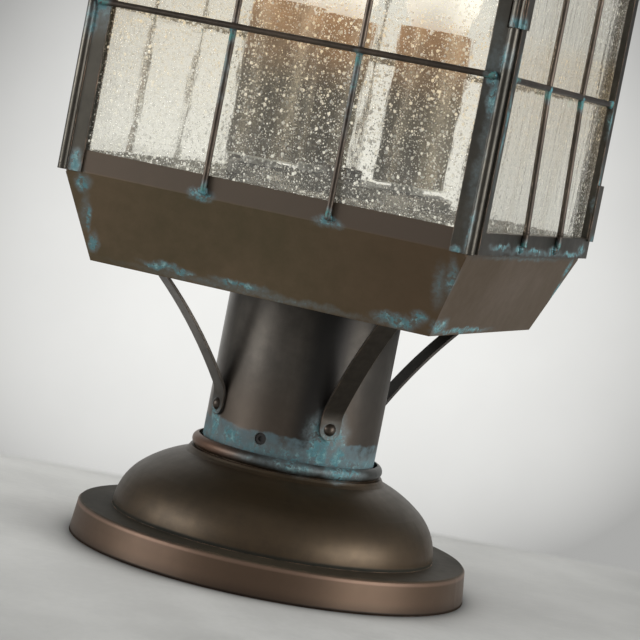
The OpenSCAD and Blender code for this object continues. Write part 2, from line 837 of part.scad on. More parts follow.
// HINGE AND CATCH

// A rolled knuckle about the +X +Y tube axis, with a flat leaf that laps over the stile
module knuckle(span, seam_angle) {
  length = span[1] - span[0];
  difference() {
    union() {
      translate([tube_axis, tube_axis, span[0]]) cylinder(r = knuckle_r, h = length, $fn = 64);
      translate([door_face, tube_axis - leaf_w, span[0]]) cube([leaf_t, leaf_w, length]);
      translate([tube_axis + pin_r, door_half_w, span[0]])
        cube([door_face + leaf_t - tube_axis - pin_r, tube_axis - door_half_w, length]);
    }
    translate([tube_axis, tube_axis, span[0] - cut])
      cylinder(r = pin_r + knuckle_run_gap, h = length + 2 * cut, $fn = 48);
    translate([tube_axis, tube_axis, span[0] - cut]) rotate(seam_angle)
      translate([knuckle_r - seam_depth, -seam_w / 2, 0])
        cube([knuckle_r, seam_w, length + 2 * cut]);
  }
}

module hinge_knuckle_low() { color("peru") knuckle(knuckle_low, 100); }
module hinge_knuckle_high() { color("peru") knuckle(knuckle_high, 100); }

// The catch is a knuckle slit on its inner side, which springs over the catch pin
module catch_knuckle() {
  slit = 2 * (pin_r + knuckle_run_gap);
  color("peru")
    mirror([0, 1, 0])
      difference() {
        knuckle(knuckle_catch, 62);
        translate([tube_axis - 2 * knuckle_r, tube_axis - slit / 2, knuckle_catch[0] - cut])
          cube([2 * knuckle_r, slit, knuckle_l + 2 * cut]);
      }
}

module hinge_pin() {
  color("goldenrod")
    translate([tube_axis, tube_axis, knuckle_low[0]])
      cylinder(r = pin_r, h = knuckle_high[1] - knuckle_low[0], $fn = 48);
}

module catch_pin() {
  color("goldenrod")
    translate([tube_axis, -tube_axis, knuckle_catch[0] - catch_pin_hold])
      cylinder(r = pin_r, h = knuckle_l + 2 * catch_pin_hold, $fn = 48);
}

// LAMP CLUSTER

module cluster_stem() {
  low_z = floor_z - nut_h - cut;
  color("goldenrod")
    translate([0, 0, low_z])
      difference() {
        cylinder(r = stem_r, h = pan_z + nut_h + cut - low_z, $fn = 48);
        translate([0, 0, -cut]) cylinder(r = stem_bore_r, h = 2 * pan_z, $fn = 48);
      }
}

module stem_nuts() {
  color("goldenrod")
    for (z = [floor_z - nut_h, floor_z + sheet_t, pan_z - sheet_t - nut_h, pan_z])
      translate([0, 0, z])
        difference() {
          cylinder(d = nut_w / cos(30), h = nut_h, $fn = 6);
          translate([0, 0, -cut]) cylinder(r = stem_r + rivet_gap, h = nut_h + 2 * cut, $fn = 48);
        }
}

module cluster_pan() {
  color("dimgray")
    rotate_extrude()
      difference() {
        polygon([[stem_r + rivet_gap, pan_z], [pan_r - cut, pan_z], [pan_r, pan_z - cut],
                 [pan_r, pan_z - pan_skirt], [stem_r + rivet_gap, pan_z - pan_skirt]]);
        translate([0, pan_z - pan_skirt - cut])
          square([pan_r - sheet_t, pan_skirt - sheet_t + cut]);
      }
}

candle_z = pan_z + holder_neck_h + holder_flange_t;

module lampholder(place) {
  color("ivory")
    translate([place.x, place.y, candle_z])
      difference() {
        union() {
          cylinder(r = holder_r, h = holder_h, $fn = 64);
          translate([0, 0, -holder_flange_t])
            cylinder(d = candle_d + 2 * holder_flange_out, h = holder_flange_t, $fn = 90);
          translate([0, 0, pan_z - candle_z])
            cylinder(r = holder_neck_r, h = candle_z - pan_z, $fn = 48);
        }
        translate([0, 0, holder_h - cap_l - cap_gap])
          cylinder(r = cap_r + cap_gap, h = cap_l + cap_gap + cut, $fn = 48);
      }
}

module candle(place) {
  color("saddlebrown")
    translate([place.x, place.y, candle_z])
      difference() {
        cylinder(d = candle_d, h = candle_h);
        translate([0, 0, -cut]) cylinder(d = candle_d - 2 * candle_wall, h = candle_h + 2 * cut);
      }
}

// A candle lamp: a cap in the lampholder, a shoulder that clears the sleeve and a flame tip
module lamp(place) {
  neck_z = candle_z + holder_h;
  belly = 0.38 * lamp_l;
  outline = concat(
    [[0, -cap_l], [cap_r, -cap_l], [cap_r, 0]],
    [for (i = [0:12]) [cap_r + (lamp_r - cap_r) * pow(sin(90 * i / 12), 1.3), 3 + (belly - 3) * i / 12]],
    [for (i = [1:14]) [lamp_r * pow(cos(90 * i / 14), 0.8), belly + (lamp_l - belly) * sin(90 * i / 14)]]
  );
  color("lightyellow")
    translate([place.x, place.y, neck_z]) rotate_extrude($fn = 64) polygon(outline);
}

module lampholder_right() { lampholder(candle_places[0]); }
module lampholder_front() { lampholder(candle_places[1]); }
module lampholder_rear() { lampholder(candle_places[2]); }
module candle_right() { candle(candle_places[0]); }
module candle_front() { candle(candle_places[1]); }
module candle_rear() { candle(candle_places[2]); }
module lamp_right() { lamp(candle_places[0]); }
module lamp_front() { lamp(candle_places[1]); }
module lamp_rear() { lamp(candle_places[2]); }

// ROOF

eave_w = body_w + 2 * eave_out;
roof_slope_z = seat_z + drip_h;
roof_top_z = roof_slope_z + roof_rise;
roof_run = (eave_w - roof_top_w) / 2;
roof_wall_z = sheet_t * sqrt(pow(roof_run, 2) + pow(roof_rise, 2)) / roof_run;
vent_top_z = roof_top_z + vent_h;

module roof() {
  color("darkolivegreen")
    difference() {
      union() {
        square_block(eave_w, seat_z, roof_slope_z);
        frustum(eave_w, roof_top_w, roof_slope_z - eps, roof_top_z);
      }
      difference() {
        union() {
          square_block(eave_w - 2 * sheet_t, seat_z + sheet_t, roof_slope_z);
          translate([0, 0, -roof_wall_z])
            frustum(eave_w - 2 * sheet_t, roof_top_w - 2 * sheet_t,
                    roof_slope_z + roof_wall_z - eps, roof_top_z);
        }
        square_block(2 * eave_w, roof_top_z - sheet_t, roof_top_z + cut);
      }
      square_block(roof_hole_w, seat_z - cut, seat_z + 2 * sheet_t);
      translate([0, 0, roof_top_z - 4 * sheet_t]) cylinder(r = vent_r - sheet_t, h = 9 * sheet_t);
    }
}

module vent_drum() {
  slot_h = vent_h - 10;
  color("saddlebrown")
    difference() {
      union() {
        translate([0, 0, roof_top_z]) cylinder(r = vent_r, h = vent_h);
        translate([0, 0, roof_top_z]) cylinder(r = vent_r + 3, h = sheet_t);
        translate([0, 0, vent_top_z - sheet_t]) cylinder(r = vent_r + 2, h = sheet_t);
      }
      translate([0, 0, roof_top_z - cut])
        cylinder(r = vent_r - sheet_t, h = vent_h + 2 * cut);
      for (i = [0:vent_n - 1])
        rotate(i * 360 / vent_n)
          translate([vent_r - 3 * sheet_t, -vent_slot_w / 2, roof_top_z + 5])
            cube([6 * sheet_t, vent_slot_w, slot_h]);
    }
}

cap_dome_r = (pow(cap_roof_r, 2) + pow(cap_roof_h, 2)) / (2 * cap_roof_h);

module vent_cap() {
  color("darkolivegreen")
    rotate_extrude($fn = 120)
      difference() {
        union() {
          intersection() {
            translate([0, vent_top_z + cap_roof_h - cap_dome_r]) circle(r = cap_dome_r, $fn = 360);
            translate([0, vent_top_z]) square([cap_roof_r, cap_roof_h]);
          }
          translate([0, vent_top_z]) square([finial_ball_r, cap_roof_h]);
        }
        intersection() {
          translate([0, vent_top_z + cap_roof_h - cap_dome_r])
            circle(r = cap_dome_r - sheet_t, $fn = 360);
          translate([vent_r + 2, vent_top_z - cut]) square([cap_roof_r, cap_roof_h]);
        }
      }
}

module finial() {
  base_z = vent_top_z + cap_roof_h;
  ball_z = base_z + 6 + finial_ball_r;
  color("saddlebrown")
    rotate_extrude($fn = 96)
      union() {
        translate([0, base_z]) square([finial_ball_r, 2]);
        translate([0, base_z + 2 - eps]) square([finial_ball_r * 0.5, 8]);
        intersection() {
          translate([0, ball_z]) circle(r = finial_ball_r, $fn = 120);
          translate([0, base_z]) square([finial_ball_r + cut, 4 * finial_ball_r]);
        }
      }
}

fixing_plate();
stub_post();
pier_cover();
fitter_sleeve();
set_screws();
brace_front_left();
brace_front_right();
brace_rear_right();
brace_rear_left();
brace_foot_rivets();
brace_tab_rivets();
tray();
post_front_left();
post_rear_left();
hinge_post();
catch_post();
front_glass();
rear_glass();
left_glass();
front_grid();
rear_grid();
left_grid();
top_frame();
door_frame();
door_glass();
door_grid();
hinge_knuckle_low();
hinge_knuckle_high();
catch_knuckle();
hinge_pin();
catch_pin();
cluster_stem();
stem_nuts();
cluster_pan();
lampholder_right();
lampholder_front();
lampholder_rear();
candle_right();
candle_front();
candle_rear();
lamp_right();
lamp_front();
lamp_rear();
roof();
vent_drum();
vent_cap();
finial();
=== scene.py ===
import math
import random

import bmesh
import bpy
from bpy.props import FloatProperty, FloatVectorProperty, IntProperty, PointerProperty
from mathutils import Matrix, Vector


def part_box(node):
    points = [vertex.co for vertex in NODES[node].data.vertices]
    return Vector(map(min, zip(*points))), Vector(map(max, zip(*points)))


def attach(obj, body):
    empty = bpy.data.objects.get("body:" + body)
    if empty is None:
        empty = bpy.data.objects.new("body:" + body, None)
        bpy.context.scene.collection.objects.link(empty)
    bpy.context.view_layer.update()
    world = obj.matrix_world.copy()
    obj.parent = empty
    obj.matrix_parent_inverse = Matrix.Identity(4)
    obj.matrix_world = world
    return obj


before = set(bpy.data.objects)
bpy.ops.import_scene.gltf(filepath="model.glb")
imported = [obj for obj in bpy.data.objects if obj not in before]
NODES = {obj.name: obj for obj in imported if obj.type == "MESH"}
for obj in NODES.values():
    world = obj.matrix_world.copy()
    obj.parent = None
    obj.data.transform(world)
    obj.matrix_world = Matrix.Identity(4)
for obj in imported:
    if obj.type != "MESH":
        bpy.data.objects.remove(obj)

bl_info = {
    "name": "Pedestal lantern",
    "version": (1, 0, 0),
    "blender": (4, 5, 0),
    "location": "3D View > Sidebar > Lantern",
    "description": "Finishes the copper, glass and lamps of a pedestal lantern",
    "category": "Object",
}

MM = 0.001

BODY, DOOR = "lantern", "door"
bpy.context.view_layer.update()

# Places on the frame, in millimetres: the tray's fold, the candles' tops, the radius of the
# pier cover, the top of its rim, and the underside of its bead
FOLD_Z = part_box("front_glass")[0].z / MM
CANDLE_TOP_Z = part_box("candle_front")[1].z / MM
COVER_R = 93.8
RIM_Z = 15.4
BEAD_LOW_Z = 50.4


# SETTINGS

def colour(name, description, default):
    return FloatVectorProperty(name=name, description=description, default=default,
                               subtype="COLOR", size=3, min=0.0, max=1.0)


class CopperSettings(bpy.types.PropertyGroup):
    dark: colour("Dark copper", "Deepest tone of the posts and the door", (0.046, 0.043, 0.036))
    light: colour("Light copper", "Palest tone of the posts and the door", (0.096, 0.087, 0.071))
    sleeve_dark: colour("Dark sleeve", "Deepest tone of the sleeve", (0.052, 0.045, 0.037))
    sleeve_light: colour("Light sleeve", "Palest tone of the sleeve", (0.108, 0.094, 0.078))
    spun_dark: colour("Dark spun copper", "Deepest tone of the cover", (0.042, 0.029, 0.016))
    spun_light: colour("Light spun copper", "Palest tone of the cover", (0.086, 0.058, 0.032))
    olive_dark: colour("Dark olive", "Deepest tone of the tray and roof", (0.095, 0.071, 0.036))
    olive_light: colour("Light olive", "Palest tone of the tray and roof", (0.144, 0.101, 0.058))
    rod_dark: colour("Dark rod", "Deepest tone of rods, rivets and pins", (0.045, 0.037, 0.030))
    rod_light: colour("Light rod", "Palest tone of rods, rivets and pins", (0.116, 0.088, 0.067))
    # Paler copper along edges, partly wear and partly a painted edge highlight
    worn_and_highlit: colour("Worn edge", "Copper that shows where edges rub", (0.30, 0.185, 0.12))
    verdigris: colour("Verdigris", "Blue-green bloom at joints and edges", (0.105, 0.290, 0.325))
    verdigris_pale: colour("Pale verdigris", "Driest part of the bloom", (0.370, 0.640, 0.650))
    verdigris_green: colour("Green verdigris", "Greener bloom on the rods", (0.035, 0.270, 0.225))
    film: colour("Bloom film", "Thin grey-blue film round the bloom", (0.165, 0.205, 0.212))
    solder_r: FloatProperty(
        name="Solder bead radius", description="Size of the beads where rods cross and end",
        default=2.0 * MM, min=1.0 * MM, max=4.0 * MM, unit="LENGTH", subtype="DISTANCE")
    solder_seed: IntProperty(
        name="Solder shape", description="Which set of uneven beads is laid",
        default=11, min=0, max=999)


class GlassSettings(bpy.types.PropertyGroup):
    tint: colour("Glass tint", "Colour of the panes", (0.978, 0.970, 0.930))
    seed_gap: FloatProperty(
        name="Seed spacing", description="Distance between the large bubbles",
        default=2.0 * MM, min=1.0 * MM, max=8.0 * MM, unit="LENGTH", subtype="DISTANCE")
    seed_depth: FloatProperty(
        name="Seed depth", description="How far a bubble lifts the surface",
        default=0.12 * MM, min=0.0, max=0.5 * MM, unit="LENGTH", subtype="DISTANCE")
    seed_haze: FloatProperty(
        name="Seed haze", description="How widely a bubble scatters the light",
        default=0.45, min=0.0, max=1.0)
    # Painted glints in the bubbles, an emission in place of the lamps' light
    spark: colour("Seed light", "Light of the lamps caught in the bubbles", (1.0, 0.975, 0.84))
    spark_warm: colour("Seed light by lamps", "The same, close to the lamps", (1.0, 0.80, 0.50))
    spark_strength: FloatProperty(
        name="Seed light strength", description="How brightly a bubble catches the lamps",
        default=0.88, min=0.0, max=4.0)
    # Painted glow laid over the whole pane
    veil: FloatProperty(
        name="Veil", description="Share of pale light that a pane lays over the view",
        default=0.02, min=0.0, max=0.5)
    ripple_depth: FloatProperty(
        name="Ripple depth", description="Depth of the drawn lines down the pane",
        default=0.014 * MM, min=0.0, max=0.5 * MM, unit="LENGTH", subtype="DISTANCE")


class LampSettings(bpy.types.PropertyGroup):
    glow: colour("Lamp glow", "Colour of the lit lamps", (1.0, 0.92, 0.80))
    strength: FloatProperty(
        name="Lamp strength", description="Brightness of the lit lamps",
        default=0.72, min=0.0, max=20.0)
    candle: colour("Candle sleeve", "Colour of the candle sleeves", (0.050, 0.041, 0.027))


class StageSettings(bpy.types.PropertyGroup):
    floor: colour("Floor", "Colour of the floor near the lantern", (0.590, 0.590, 0.563))
    wall: colour("Backdrop", "Brightest colour of the backdrop", (1.0, 1.0, 0.975))
    wall_dimmest: FloatProperty(
        name="Backdrop edge", description="Least brightness of the backdrop",
        default=0.40, min=0.0, max=1.0)
    lens: FloatProperty(
        name="Lens", description="Focal length for the photograph's view, in millimetres",
        default=152.09, min=20.0, max=400.0)
    yaw: FloatProperty(
        name="Camera turn", description="How far the camera looks to the left",
        default=math.radians(19.15), unit="ROTATION", subtype="ANGLE")
    pitch: FloatProperty(
        name="Camera tilt", description="How far the camera looks down",
        default=math.radians(4.77), unit="ROTATION", subtype="ANGLE")
    roll: FloatProperty(
        name="Camera roll", description="How far the camera leans",
        default=math.radians(11.093), unit="ROTATION", subtype="ANGLE")
    camera_at: FloatVectorProperty(
        name="Camera place", description="Where the camera stands",
        default=(0.41475, -1.18542, 0.22191), size=3, unit="LENGTH", subtype="TRANSLATION")


class LanternSettings(bpy.types.PropertyGroup):
    copper: PointerProperty(type=CopperSettings)
    glass: PointerProperty(type=GlassSettings)
    lamp: PointerProperty(type=LampSettings)
    stage: PointerProperty(type=StageSettings)


# SHADER BENCH

class Bench:
    """Lays out the shader nodes of one material."""

    def __init__(self, name):
        self.material = bpy.data.materials.new(name)
        self.material.use_nodes = True
        self.tree = self.material.node_tree
        self.tree.nodes.clear()
        self.place = self.add("ShaderNodeTexCoord").outputs["Object"]
        self.place_mm = self.vector("MULTIPLY", self.place, (1 / MM,) * 3)

    def add(self, kind, **settings):
        made = self.tree.nodes.new(kind)
        for name, value in settings.items():
            setattr(made, name, value)
        return made

    def feed(self, socket, value):
        if isinstance(value, bpy.types.NodeSocket):
            self.tree.links.new(value, socket)
        elif socket.type == "RGBA":
            socket.default_value = (*value, 1.0)
        else:
            socket.default_value = value

    def math(self, operation, *values):
        made = self.add("ShaderNodeMath", operation=operation)
        for socket, value in zip(made.inputs, values):
            self.feed(socket, value)
        return made.outputs[0]

    def vector(self, operation, *values):
        made = self.add("ShaderNodeVectorMath", operation=operation)
        for socket, value in zip(made.inputs, values):
            self.feed(socket, value)
        return made.outputs["Value" if operation in ("LENGTH", "DOT_PRODUCT") else "Vector"]

    def scaled(self, vector, amount):
        made = self.add("ShaderNodeVectorMath", operation="SCALE")
        self.feed(made.inputs[0], vector)
        self.feed(made.inputs["Scale"], amount)
        return made.outputs["Vector"]

    def axes(self, place):
        """The x, y and z of a place, each on its own."""
        made = self.add("ShaderNodeSeparateXYZ")
        self.feed(made.inputs[0], place)
        return tuple(made.outputs)

    def step(self, value, low, high, out_low=0.0, out_high=1.0):
        """0 below low and 1 above high, with a smooth change between them."""
        made = self.add("ShaderNodeMapRange", interpolation_type="SMOOTHSTEP")
        for socket, given in zip(made.inputs, (value, low, high, out_low, out_high)):
            self.feed(socket, given)
        return made.outputs[0]

    def noise(self, place, scale, detail=3.0, roughness=0.5, coloured=False):
        made = self.add("ShaderNodeTexNoise")
        self.feed(made.inputs["Vector"], place)
        self.feed(made.inputs["Scale"], scale)
        self.feed(made.inputs["Detail"], detail)
        self.feed(made.inputs["Roughness"], roughness)
        return made.outputs["Color" if coloured else "Fac"]

    def cells(self, place, scale):
        """Distance to the nearest point of a random scatter, and a number for that point."""
        made = self.add("ShaderNodeTexVoronoi")
        self.feed(made.inputs["Vector"], place)
        self.feed(made.inputs["Scale"], scale)
        number = self.add("ShaderNodeSeparateColor")
        self.feed(number.inputs[0], made.outputs["Color"])
        return made.outputs["Distance"], number.outputs[0]

    def mix(self, factor, a, b):
        made = self.add("ShaderNodeMix", data_type="RGBA")
        self.feed(made.inputs[0], factor)
        self.feed(made.inputs[6], a)
        self.feed(made.inputs[7], b)
        return made.outputs[2]

    def layer(self, face, mask, share, tone):
        """Lays a tone over the face where the mask shows, at the share given."""
        return self.mix(self.math("MULTIPLY", mask, share), face, tone)

    def rays(self, *kinds):
        """1 for a ray of any of the kinds, as the Light Path node names them."""
        path = self.add("ShaderNodeLightPath")
        found = path.outputs[f"Is {kinds[0]} Ray"]
        for kind in kinds[1:]:
            found = self.math("MAXIMUM", found, path.outputs[f"Is {kind} Ray"])
        return found

    def bump(self, height, distance, strength=1.0):
        made = self.add("ShaderNodeBump")
        self.feed(made.inputs["Strength"], strength)
        self.feed(made.inputs["Distance"], distance)
        self.feed(made.inputs["Height"], height)
        return made

    def principled(self, **sockets):
        made = self.add("ShaderNodeBsdfPrincipled")
        for name, value in sockets.items():
            self.feed(made.inputs[name.replace("_", " ")], value)
        return made.outputs[0]

    def glow(self, tone, strength=1.0):
        made = self.add("ShaderNodeEmission")
        self.feed(made.inputs["Color"], tone)
        self.feed(made.inputs["Strength"], strength)
        return made.outputs[0]

    def clear(self, tint=(1.0, 1.0, 1.0)):
        made = self.add("ShaderNodeBsdfTransparent")
        self.feed(made.inputs["Color"], tint)
        return made.outputs[0]

    def mix_shaders(self, factor, a, b):
        made = self.add("ShaderNodeMixShader")
        for socket, value in zip(made.inputs, (factor, a, b)):
            self.feed(socket, value)
        return made.outputs[0]

    def done(self, surface):
        out = self.add("ShaderNodeOutputMaterial")
        self.tree.links.new(surface, out.inputs["Surface"])
        return self.material


# AGED COPPER

# Noise to the metre along x, y and z, and across and round a turned piece
GRAIN = {"upright": (420.0, 420.0, 9.0), "mottled": (60.0, 60.0, 60.0)}
TURNED_ACROSS, TURNED_ROUND = 420.0, 1.3
WORN_EDGE = 0.55 * MM


def grain_place(bench, grain):
    """Coordinates that draw the metal's fine lines out along one direction."""
    if grain != "turned":
        return bench.vector("MULTIPLY", bench.place, GRAIN[grain])
    x, y, z = bench.axes(bench.place)
    flat = bench.vector("MULTIPLY", bench.place, (1.0, 1.0, 0.0))
    radius = bench.vector("LENGTH", flat)
    angle = bench.math("ABSOLUTE", bench.math("ARCTAN2", y, x))
    joined = bench.add("ShaderNodeCombineXYZ")
    bench.feed(joined.inputs[0], bench.math("MULTIPLY", radius, TURNED_ACROSS))
    bench.feed(joined.inputs[1], bench.math("MULTIPLY", z, TURNED_ACROSS))
    bench.feed(joined.inputs[2], bench.math("MULTIPLY", angle, TURNED_ROUND))
    return joined.outputs[0]


def bloom_masks(bench, spots, wander=3.2):
    """Where verdigris shows, as a thin film and a veined crust.

    Each spot is a soft ellipsoid in millimetres, with a third value where it is weaker or
    stronger than 1. Noise moves its edges by up to wander, in millimetres.
    """
    drift = bench.noise(bench.place, 130.0, 4.0, 0.62, coloured=True)
    drift = bench.vector("SUBTRACT", drift, (0.5,) * 3)
    drift = bench.vector("MULTIPLY", drift, (2 * wander,) * 3)
    place = bench.vector("ADD", bench.place_mm, drift)
    total = None
    for centre, radii, *weight in spots:
        away = bench.vector("SUBTRACT", place, centre)
        away = bench.vector("MULTIPLY", away, [1 / r for r in radii])
        near = bench.step(bench.vector("LENGTH", away), 1.3, 0.1, 0.0, *(weight or [1.0]))
        total = near if total is None else bench.math("MAXIMUM", total, near)
    vein = bench.noise(bench.place, 260.0, 5.0, 0.66)
    vein = bench.math("ABSOLUTE", bench.math("SUBTRACT", vein, 0.5))
    vein = bench.step(vein, 0.075, 0.0)
    blotch = bench.noise(bench.place, 520.0, 5.0, 0.72)
    broken = bench.math("MULTIPLY_ADD", vein, 0.42, bench.step(blotch, 0.34, 0.66, 0.34, 0.98))
    crust = bench.step(bench.math("MULTIPLY", total, broken), 0.34, 0.95)
    film = bench.math("MULTIPLY", bench.step(total, 0.02, 0.55),
                      bench.step(blotch, 0.30, 0.66, 0.45, 1.0))
    return film, crust


def copper(name, dark, light, grain="upright", rough=0.34, spots=(), edge=0.5, metal=0.8,
           tinted=None, streak=0.10, green=0.0, relief_mm=0.030):
    """Chemically aged sheet: mottled brown metal, paler edges that are partly wear and partly
    painted highlight, and verdigris at the spots.

    tinted changes the face colour in places, and gives a mask of where the metal is dull,
    or None.
    """
    tones = bpy.context.scene.lantern.copper
    bench = Bench(name)
    cloud = bench.noise(bench.place, 17.0, 3.0, 0.5)
    mottle = bench.noise(bench.place, 150.0, 6.0, 0.62)
    line = bench.noise(grain_place(bench, grain), 1.0, 3.0, 0.55)
    tone = bench.math("MULTIPLY_ADD", cloud, 0.60, bench.math("MULTIPLY", mottle, 0.26))
    tone = bench.math("MULTIPLY_ADD", line, streak, tone)
    tone = bench.math("ADD", tone, 0.07 - streak / 2)  # Keeps the mean at a half
    face = bench.mix(bench.step(tone, 0.36, 0.64), dark, light)
    dull = None
    if tinted:
        face, dull = tinted(bench, face)

    bevel = bench.add("ShaderNodeBevel", samples=4)
    bench.feed(bevel.inputs["Radius"], WORN_EDGE)
    true = bench.add("ShaderNodeNewGeometry").outputs["Normal"]
    rim = bench.step(bench.vector("DOT_PRODUCT", bevel.outputs[0], true), 0.985, 0.80)
    # Paler edges, partly wear and partly a painted edge highlight
    wear_and_highlight = bench.math("MULTIPLY", rim, bench.step(mottle, 0.40, 0.62, 0.1, edge))
    face = bench.mix(wear_and_highlight, face, tones.worn_and_highlit)

    metallic, shine = metal, 0.5
    roughness = bench.step(tone, 0.25, 0.75, rough + 0.10, rough - 0.06)
    if dull is not None:
        metallic = bench.math("MULTIPLY_ADD", dull, -metal, metal)
        shine = bench.math("MULTIPLY_ADD", dull, -0.45, shine)
        roughness = bench.math("MULTIPLY_ADD", dull, 0.35, roughness)
    height = bench.math("MULTIPLY_ADD", line, 0.4, mottle)
    if spots:
        film, crust = bloom_masks(bench, spots)
        dry = bench.noise(bench.place, 330.0, 4.0, 0.7)
        stain = bench.mix(bench.step(dry, 0.48, 0.70), tones.verdigris, tones.verdigris_pale)
        stain = bench.mix(green, stain, tones.verdigris_green)
        face = bench.layer(face, film, 0.66, tones.film)
        face = bench.layer(face, crust, 0.78, stain)
        cover = bench.math("MAXIMUM", bench.math("MULTIPLY", film, 0.4), crust)
        bare = bench.math("MULTIPLY_ADD", cover, -0.85, 1.0)
        metallic = bench.math("MULTIPLY", metallic, bare)
        roughness = bench.math("MULTIPLY_ADD", cover, 0.35, roughness)
        height = bench.math("MULTIPLY_ADD", crust, 1.2, height)
    relief = bench.bump(height, relief_mm * MM, 0.8)
    bench.tree.links.new(bevel.outputs[0], relief.inputs["Normal"])
    return bench.done(bench.principled(
        Base_Color=face, Metallic=metallic, Roughness=roughness, Normal=relief.outputs[0],
        Specular_IOR_Level=shine))


# Level bands of colour, as (lowest, highest, softness, share, tone) in millimetres
TRAY_BANDS = {
    "upright": (FOLD_Z, FOLD_Z + 20, 0.8, 0.85, (0.081, 0.061, 0.046)),
}
SLEEVE_BANDS = {
    "foot": (40, 84, 16, 0.45, (0.094, 0.066, 0.045)),
    # Painted shade: the sleeve is nearly black under the tray
    "head": (122, 140, 13, 0.55, (0.026, 0.024, 0.022)),
}
COVER_BANDS = {
    "rim": (-5, RIM_Z - 1.2, 0.9, 0.70, (0.112, 0.068, 0.043)),
    # Painted contact shade: the rim is nearly black where it meets the floor
    "under": (-5, 1.1, 0.6, 0.92, (0.008, 0.007, 0.006)),
    # Painted highlight along the rim's upper edge
    "lip": (RIM_Z - 2.2, RIM_Z - 0.6, 0.5, 0.45, (0.300, 0.190, 0.140)),
    # Painted shade: the rim darkens toward its foot
    "foot": (-9, 2.6, 3.6, 0.62, (0.022, 0.014, 0.009)),
    # Painted shade on the ledge, standing in for its dark reflection
    "ledge": (RIM_Z - 0.2, RIM_Z + 1.6, 0.7, 0.88, (0.021, 0.023, 0.018)),
    # Painted shade on the dome's upper part, below the bead
    "neck": (30, 46, 10, 0.65, (0.036, 0.027, 0.014)),
}

# Tones that one place alone has
TRAY_WARM = (0.096, 0.056, 0.029)
# Painted shade on the sleeve's right edge
SLEEVE_SHADED_EDGE = (0.020, 0.019, 0.017)
# Painted shadow of the right brace on the sleeve
SLEEVE_BRACE_SHADOW = (0.016, 0.015, 0.014)
SLEEVE_FILM = (0.126, 0.186, 0.205)
# Painted highlight on the left of the rolled bead
BEAD_PAINTED_HIGHLIGHT = (0.155, 0.082, 0.050)
BEAD_DAMP = (0.050, 0.060, 0.062)

# The film round the sleeve's foot is whole below the first height and gone above the second,
# before noise lowers both by up to 6 mm
FILM_WHOLE_Z, FILM_GONE_Z = 67.6, 68.9


def height_band(bench, low, high, soft):
    """1 between two heights in millimetres, 0 outside them."""
    z = bench.axes(bench.place_mm)[2]
    return bench.math("MULTIPLY", bench.step(z, low - soft, low + soft),
                      bench.step(z, high + soft, high - soft))


def lay_bands(bench, face, bands):
    """Lays level bands of colour over the face, and gives their masks by name."""
    masks = {}
    for name, (low, high, soft, share, tone) in bands.items():
        masks[name] = height_band(bench, low, high, soft)
        face = bench.layer(face, masks[name], share, tone)
    return face, masks


def tray_tint(bench, face):
    """The tray is warmer to the right, and its upright band took the colouring thinly."""
    x = bench.axes(bench.place_mm)[0]
    face = bench.mix(bench.step(x, 0.0, 80.0, 0.0, 0.55), face, TRAY_WARM)
    face, _ = lay_bands(bench, face, TRAY_BANDS)
    return face, None


def sleeve_tint(bench, face):
    """The sleeve is browner toward its foot and nearly black under the tray, in painted shade.

    Its right edge is dark with painted shade and the lee of the right brace with a painted
    shadow, and a ragged film of verdigris stands round the foot.
    """
    face, _ = lay_bands(bench, face, SLEEVE_BANDS)
    x, _, z = bench.axes(bench.place_mm)
    # Painted shade down the sleeve's right edge, which is also duller
    side = bench.step(x, 33.0, 39.5, 0.0, 0.62)
    face = bench.mix(side, face, SLEEVE_SHADED_EDGE)
    # Painted shadow that the right brace casts on the sleeve
    lee = bench.math("MULTIPLY", bench.step(x, 9.0, 19.0),
                     bench.step(x, 34.0, 25.0, 0.0, 0.88))
    face = bench.mix(lee, face, SLEEVE_BRACE_SHADOW)
    drift = bench.noise(bench.place, 95.0, 4.0, 0.6)
    level = bench.math("MULTIPLY_ADD", drift, 6.0, z)
    film = bench.step(level, FILM_GONE_Z, FILM_WHOLE_Z)
    patchy = bench.noise(bench.place, 210.0, 5.0, 0.65)
    film = bench.math("MULTIPLY", film, bench.step(patchy, 0.32, 0.60, 0.20, 0.90))
    face = bench.mix(film, face, SLEEVE_FILM)
    return face, bench.math("MULTIPLY", bench.math("MAXIMUM", film, side), 0.8)


def cover_tint(bench, face):
    """Painted shade darkens the ledge, the foot of the rim and the neck of the dome.

    The rim is paler up to its lip, with a painted highlight along the lip and painted contact
    shade underneath, and the rolled bead has a painted highlight on the left and is damp on the
    right.
    """
    face, masks = lay_bands(bench, face, COVER_BANDS)
    bead = height_band(bench, BEAD_LOW_Z, BEAD_LOW_Z + 20, 0.8)
    x = bench.axes(bench.place_mm)[0]
    # Painted highlight on the bead's left, verdigris on its right
    rolled = bench.mix(bench.step(x, -30.0, 6.0), BEAD_PAINTED_HIGHLIGHT, BEAD_DAMP)
    face = bench.layer(face, bead, 0.75, rolled)
    # The ledge in painted shade is also duller
    dull_ledge = bench.math("MULTIPLY", masks["ledge"], 0.85)
    return face, bench.math("MAXIMUM", dull_ledge, masks["under"])


def paint(material, *names):
    """Puts one material on every slot of the named CAD nodes."""
    for name in names:
        mesh = NODES[name].data
        mesh.materials.clear()
        mesh.materials.append(material)


def mesh_piece(name, bm, material, body):
    """A new piece of the lantern, from mesh code, that rides on a body."""
    mesh = bpy.data.meshes.new(name)
    bm.to_mesh(mesh)
    bm.free()
    for face in mesh.polygons:
        face.use_smooth = True
    piece = bpy.data.objects.new(name, mesh)
    bpy.context.scene.collection.objects.link(piece)
    mesh.materials.append(material)
    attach(piece, body)
    return piece


# VERDIGRIS, as (centre, radii) in millimetres, and the strength where it isn't 1

def quarter_turns(spots):
    """The same spots on all four sides, each side a little different."""
    chance = random.Random(5)
    turned = []
    for turn in range(4):
        for (x, y, z), (rx, ry, rz) in spots:
            for _ in range(turn):
                x, y, rx, ry = -y, x, ry, rx
            grow = 1.0 if turn == 0 else chance.uniform(0.55, 1.15)
            turned.append(((x, y, z), (rx * grow, ry * grow, rz * grow)))
    return turned


